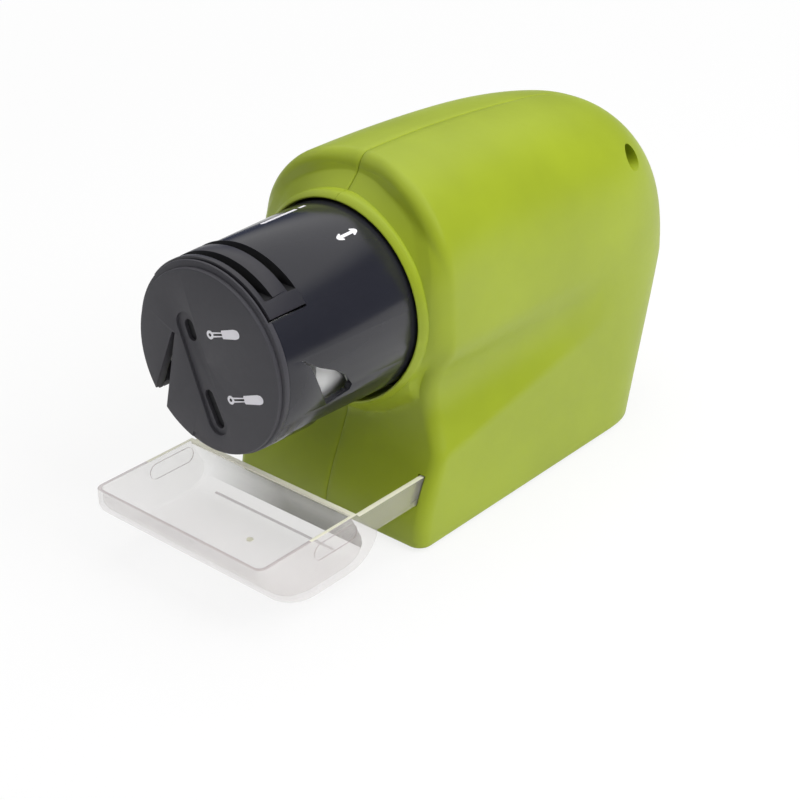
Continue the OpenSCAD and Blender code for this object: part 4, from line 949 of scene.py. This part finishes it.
def dress_tray():
    tray = tray_skin("tray", TRAY_OUTER, TRAY_HALF, TRAY_CORNER)
    inner = TRAY_HALF - TRAY_WALL
    cuts = [tray_skin("inside", TRAY_INNER, inner, TRAY_CORNER - TRAY_WALL * TRAY_IN_CORNER)]
    reach = PILL_L / 2 - PILL_HALF
    pill = round_bar((NOSE_Y + PILL_U - reach, BASE_Z + PILL_H), (NOSE_Y + PILL_U + reach, BASE_Z + PILL_H),
                     PILL_HALF, PILL_STEPS)
    arms = []
    for side in (-1, 1):
        x0, x1 = side * (TRAY_HALF - ARM_T), side * TRAY_HALF
        for name, start, ends in (("arm", ARM_FROM, (x0, x1)),
                                  ("hook", ARM_BACK - HOOK_L, (x0 - side * HOOK_T, x0 + side * HOOK_LAP))):
            outline = corners(start, ARM_BACK, ARM_LOW, ARM_HIGH)
            arms.append(prism(name, outline, "x", min(ends), max(ends)))
        low, high = sorted((side * (TRAY_HALF - PILL_DEEP), side * (TRAY_HALF + PILL_OUT)))
        cuts.append(prism("pill", pill, "x", low, high))
    carve(tray, arms, "UNION")
    carve(tray, cuts)
    soften(tray, TRAY_SOFT, TRAY_SOFT_FROM)
    split_at(tray, "y", TRAY_Y + LINE_FROM * TRAY_L, TRAY_Y + LINE_TO * TRAY_L, NOSE_Y + RIM_CHANGE)
    split_at(tray, "z", TRAY_LOW + RIM_LOW * TRAY_H)
    split_at(tray, "x", -inner, inner, -LINE_HALF, LINE_HALF)
    shade(tray, CRISP)
    for poly in tray.data.polygons:
        poly.material_index = tray_face(poly)
    return tray


def dress_gate():
    """The small round moulding mark on the tray's floor."""
    gate = lathe("gate", GATE, (0, 0), steps=GATE_STEPS)
    place = (GATE_X * MM, (NOSE_Y + GATE_U) * MM, (TRAY_LOW + GATE_H * TRAY_H) * MM)
    gate.data.transform(Matrix.Translation(place) @ Matrix.Rotation(QUARTER, 4, "X"))
    return gate


dress(dress_tray(), "tray", "filings_tray", "tray_clear", CLEAR, CLEAR_HIGHLIGHT, CLEAR_PAINTED_LINES, CLEAR_WALL_SHADE)
# The moulding mark takes the painted highlight too
dress(dress_gate(), "tray", "filings_tray", "tray_clear", CLEAR_HIGHLIGHT)

# Stage: one flat floor, which is whiter farther off and see-through from below, in metres
FLOOR_HALF, FLOOR_TONE, FLOOR_ROUGH = 3, 0.9, 0.9
WHITE_FROM, WHITE_TO, WHITE_NEAR, WHITE_FAR = 0.2, 0.6, 0.8, 1.0
floor_mesh = bpy.data.meshes.new("floor")
floor_mesh.from_pydata([(x, y, 0) for x, y in corners(-FLOOR_HALF, FLOOR_HALF, -FLOOR_HALF, FLOOR_HALF)], [],
                       [(0, 1, 2, 3)])
floor = bpy.data.objects.new("floor", floor_mesh)
bpy.context.scene.collection.objects.link(floor)
floor_mat = bpy.data.materials.new("floor")
floor_mat.use_nodes = True
tree = floor_mat.node_tree
matt = tree.nodes["Principled BSDF"]
matt.inputs["Base Color"].default_value = (FLOOR_TONE, FLOOR_TONE, FLOOR_TONE, 1)
matt.inputs["Roughness"].default_value = FLOOR_ROUGH
ray = add(tree, "LightPath")
direct = either(tree, ray["Is Camera Ray"], either(tree, ray["Is Glossy Ray"], ray["Is Transmission Ray"]))
reach = add(tree, "VectorMath", {0: add(tree, "TexCoord")["Object"]}, operation="LENGTH")["Value"]
white = ranged(tree, reach, WHITE_FROM, WHITE_TO, WHITE_NEAR, WHITE_FAR)
share = add(tree, "Math", {0: direct, 1: white}, operation="MULTIPLY")["Value"]
paper = add(tree, "Emission", {"Strength": 1.0})["Emission"]
above = add(tree, "MixShader", {"Fac": share, 1: matt.outputs["BSDF"], 2: paper})["Shader"]
below = add(tree, "NewGeometry")["Backfacing"]
hollow = add(tree, "BsdfTransparent")["BSDF"]
sheet = add(tree, "MixShader", {"Fac": below, 1: above, 2: hollow})["Shader"]
plug(tree, tree.nodes["Material Output"].inputs["Surface"], sheet)
floor.data.materials.append(floor_mat)

# World: white to the camera and through clear plastic, white over dark blue in gloss, and soft as a light
SKY_FROM, SKY_TO, SKY_LOW, SKY_HIGH = 0.25, 0.6, 0.1, 0.55
DUSK_FROM, DUSK_TO, DUSK_BLUE, DUSK_TILT = 0.5, 0.72, (0.07, 0.09, 0.16), -0.35
WHITE = (1, 1, 1)
world = bpy.data.worlds.new("studio")
bpy.context.scene.world = world
world.use_nodes = True
tree = world.node_tree
tree.nodes.clear()
ray = add(tree, "LightPath")
sky = add(tree, "SeparateXYZ", {"Vector": add(tree, "TexCoord")["Generated"]})
glow = ranged(tree, sky["Z"], SKY_FROM, SKY_TO, SKY_LOW, SKY_HIGH, interpolation_type="SMOOTHSTEP")
tilt = add(tree, "Math", {0: sky["X"], 1: DUSK_TILT, 2: sky["Z"]}, operation="MULTIPLY_ADD")["Value"]
dusk = ramp(tree, tilt, (DUSK_FROM, DUSK_BLUE), (DUSK_TO, WHITE))
seen = add(tree, "Background", {"Color": (*WHITE, 1), "Strength": 1.0})["Background"]
lit = add(tree, "Background", {"Color": (*WHITE, 1), "Strength": glow})["Background"]
gloss = add(tree, "Background", {"Color": dusk})["Background"]
reflect = add(tree, "MixShader", {"Fac": ray["Is Glossy Ray"], 1: lit, 2: gloss})["Shader"]
through = either(tree, ray["Is Camera Ray"], ray["Is Transmission Ray"])
pick = add(tree, "MixShader", {"Fac": through, 1: reflect, 2: seen})["Shader"]
add(tree, "OutputWorld", {"Surface": pick})

# Lamps, in metres, with their aim, size and power
AIM = (0.0, 0.0, 0.045)
LAMPS = {"key": ((0.55, 0.10, 0.55), (0.5, 0.5), 3.6), "top": ((-0.05, 0.15, 0.8), (0.7, 0.7), 3.0),
         "fill": ((0.1, -0.8, 0.3), (0.6, 0.5), 0.1)}
for name, (place, size, power) in LAMPS.items():
    data = bpy.data.lights.new(name, "AREA")
    data.shape = "RECTANGLE"
    data.size, data.size_y = size
    data.energy = power
    lamp = bpy.data.objects.new(name, data)
    lamp.location = place
    lamp.rotation_euler = (Vector(AIM) - Vector(place)).to_track_quat("-Z", "Y").to_euler()
    lamp.visible_glossy = False
    bpy.context.scene.collection.objects.link(lamp)

# Camera, fitted to the photograph
CAM_AZ, CAM_EL = math.radians(40.597), math.radians(28.254)
CAM_BACK, CAM_RIGHT, CAM_UP = 383.13, 40.65, 38.58
FOCAL_PX, PHOTO_PX, SENSOR = 1700.0, 800.0, 36.0
back = Vector((math.sin(CAM_AZ) * math.cos(CAM_EL), -math.cos(CAM_AZ) * math.cos(CAM_EL), math.sin(CAM_EL)))
right = Vector((math.cos(CAM_AZ), math.sin(CAM_AZ), 0.0))
up = back.cross(right)
spot = back * CAM_BACK + right * CAM_RIGHT + up * CAM_UP + Vector((0, NOSE_Y, BASE_Z))
cam_data = bpy.data.cameras.new("camera")
cam_data.sensor_width = SENSOR
cam_data.lens = FOCAL_PX / PHOTO_PX * SENSOR
cam_data.clip_start = 0.01
camera = bpy.data.objects.new("camera", cam_data)
camera.matrix_world = Matrix.Translation(spot * MM) @ Matrix((right, up, back)).transposed().to_4x4()
bpy.context.scene.collection.objects.link(camera)
bpy.context.scene.camera = camera

bpy.context.scene.view_settings.view_transform = "Standard"
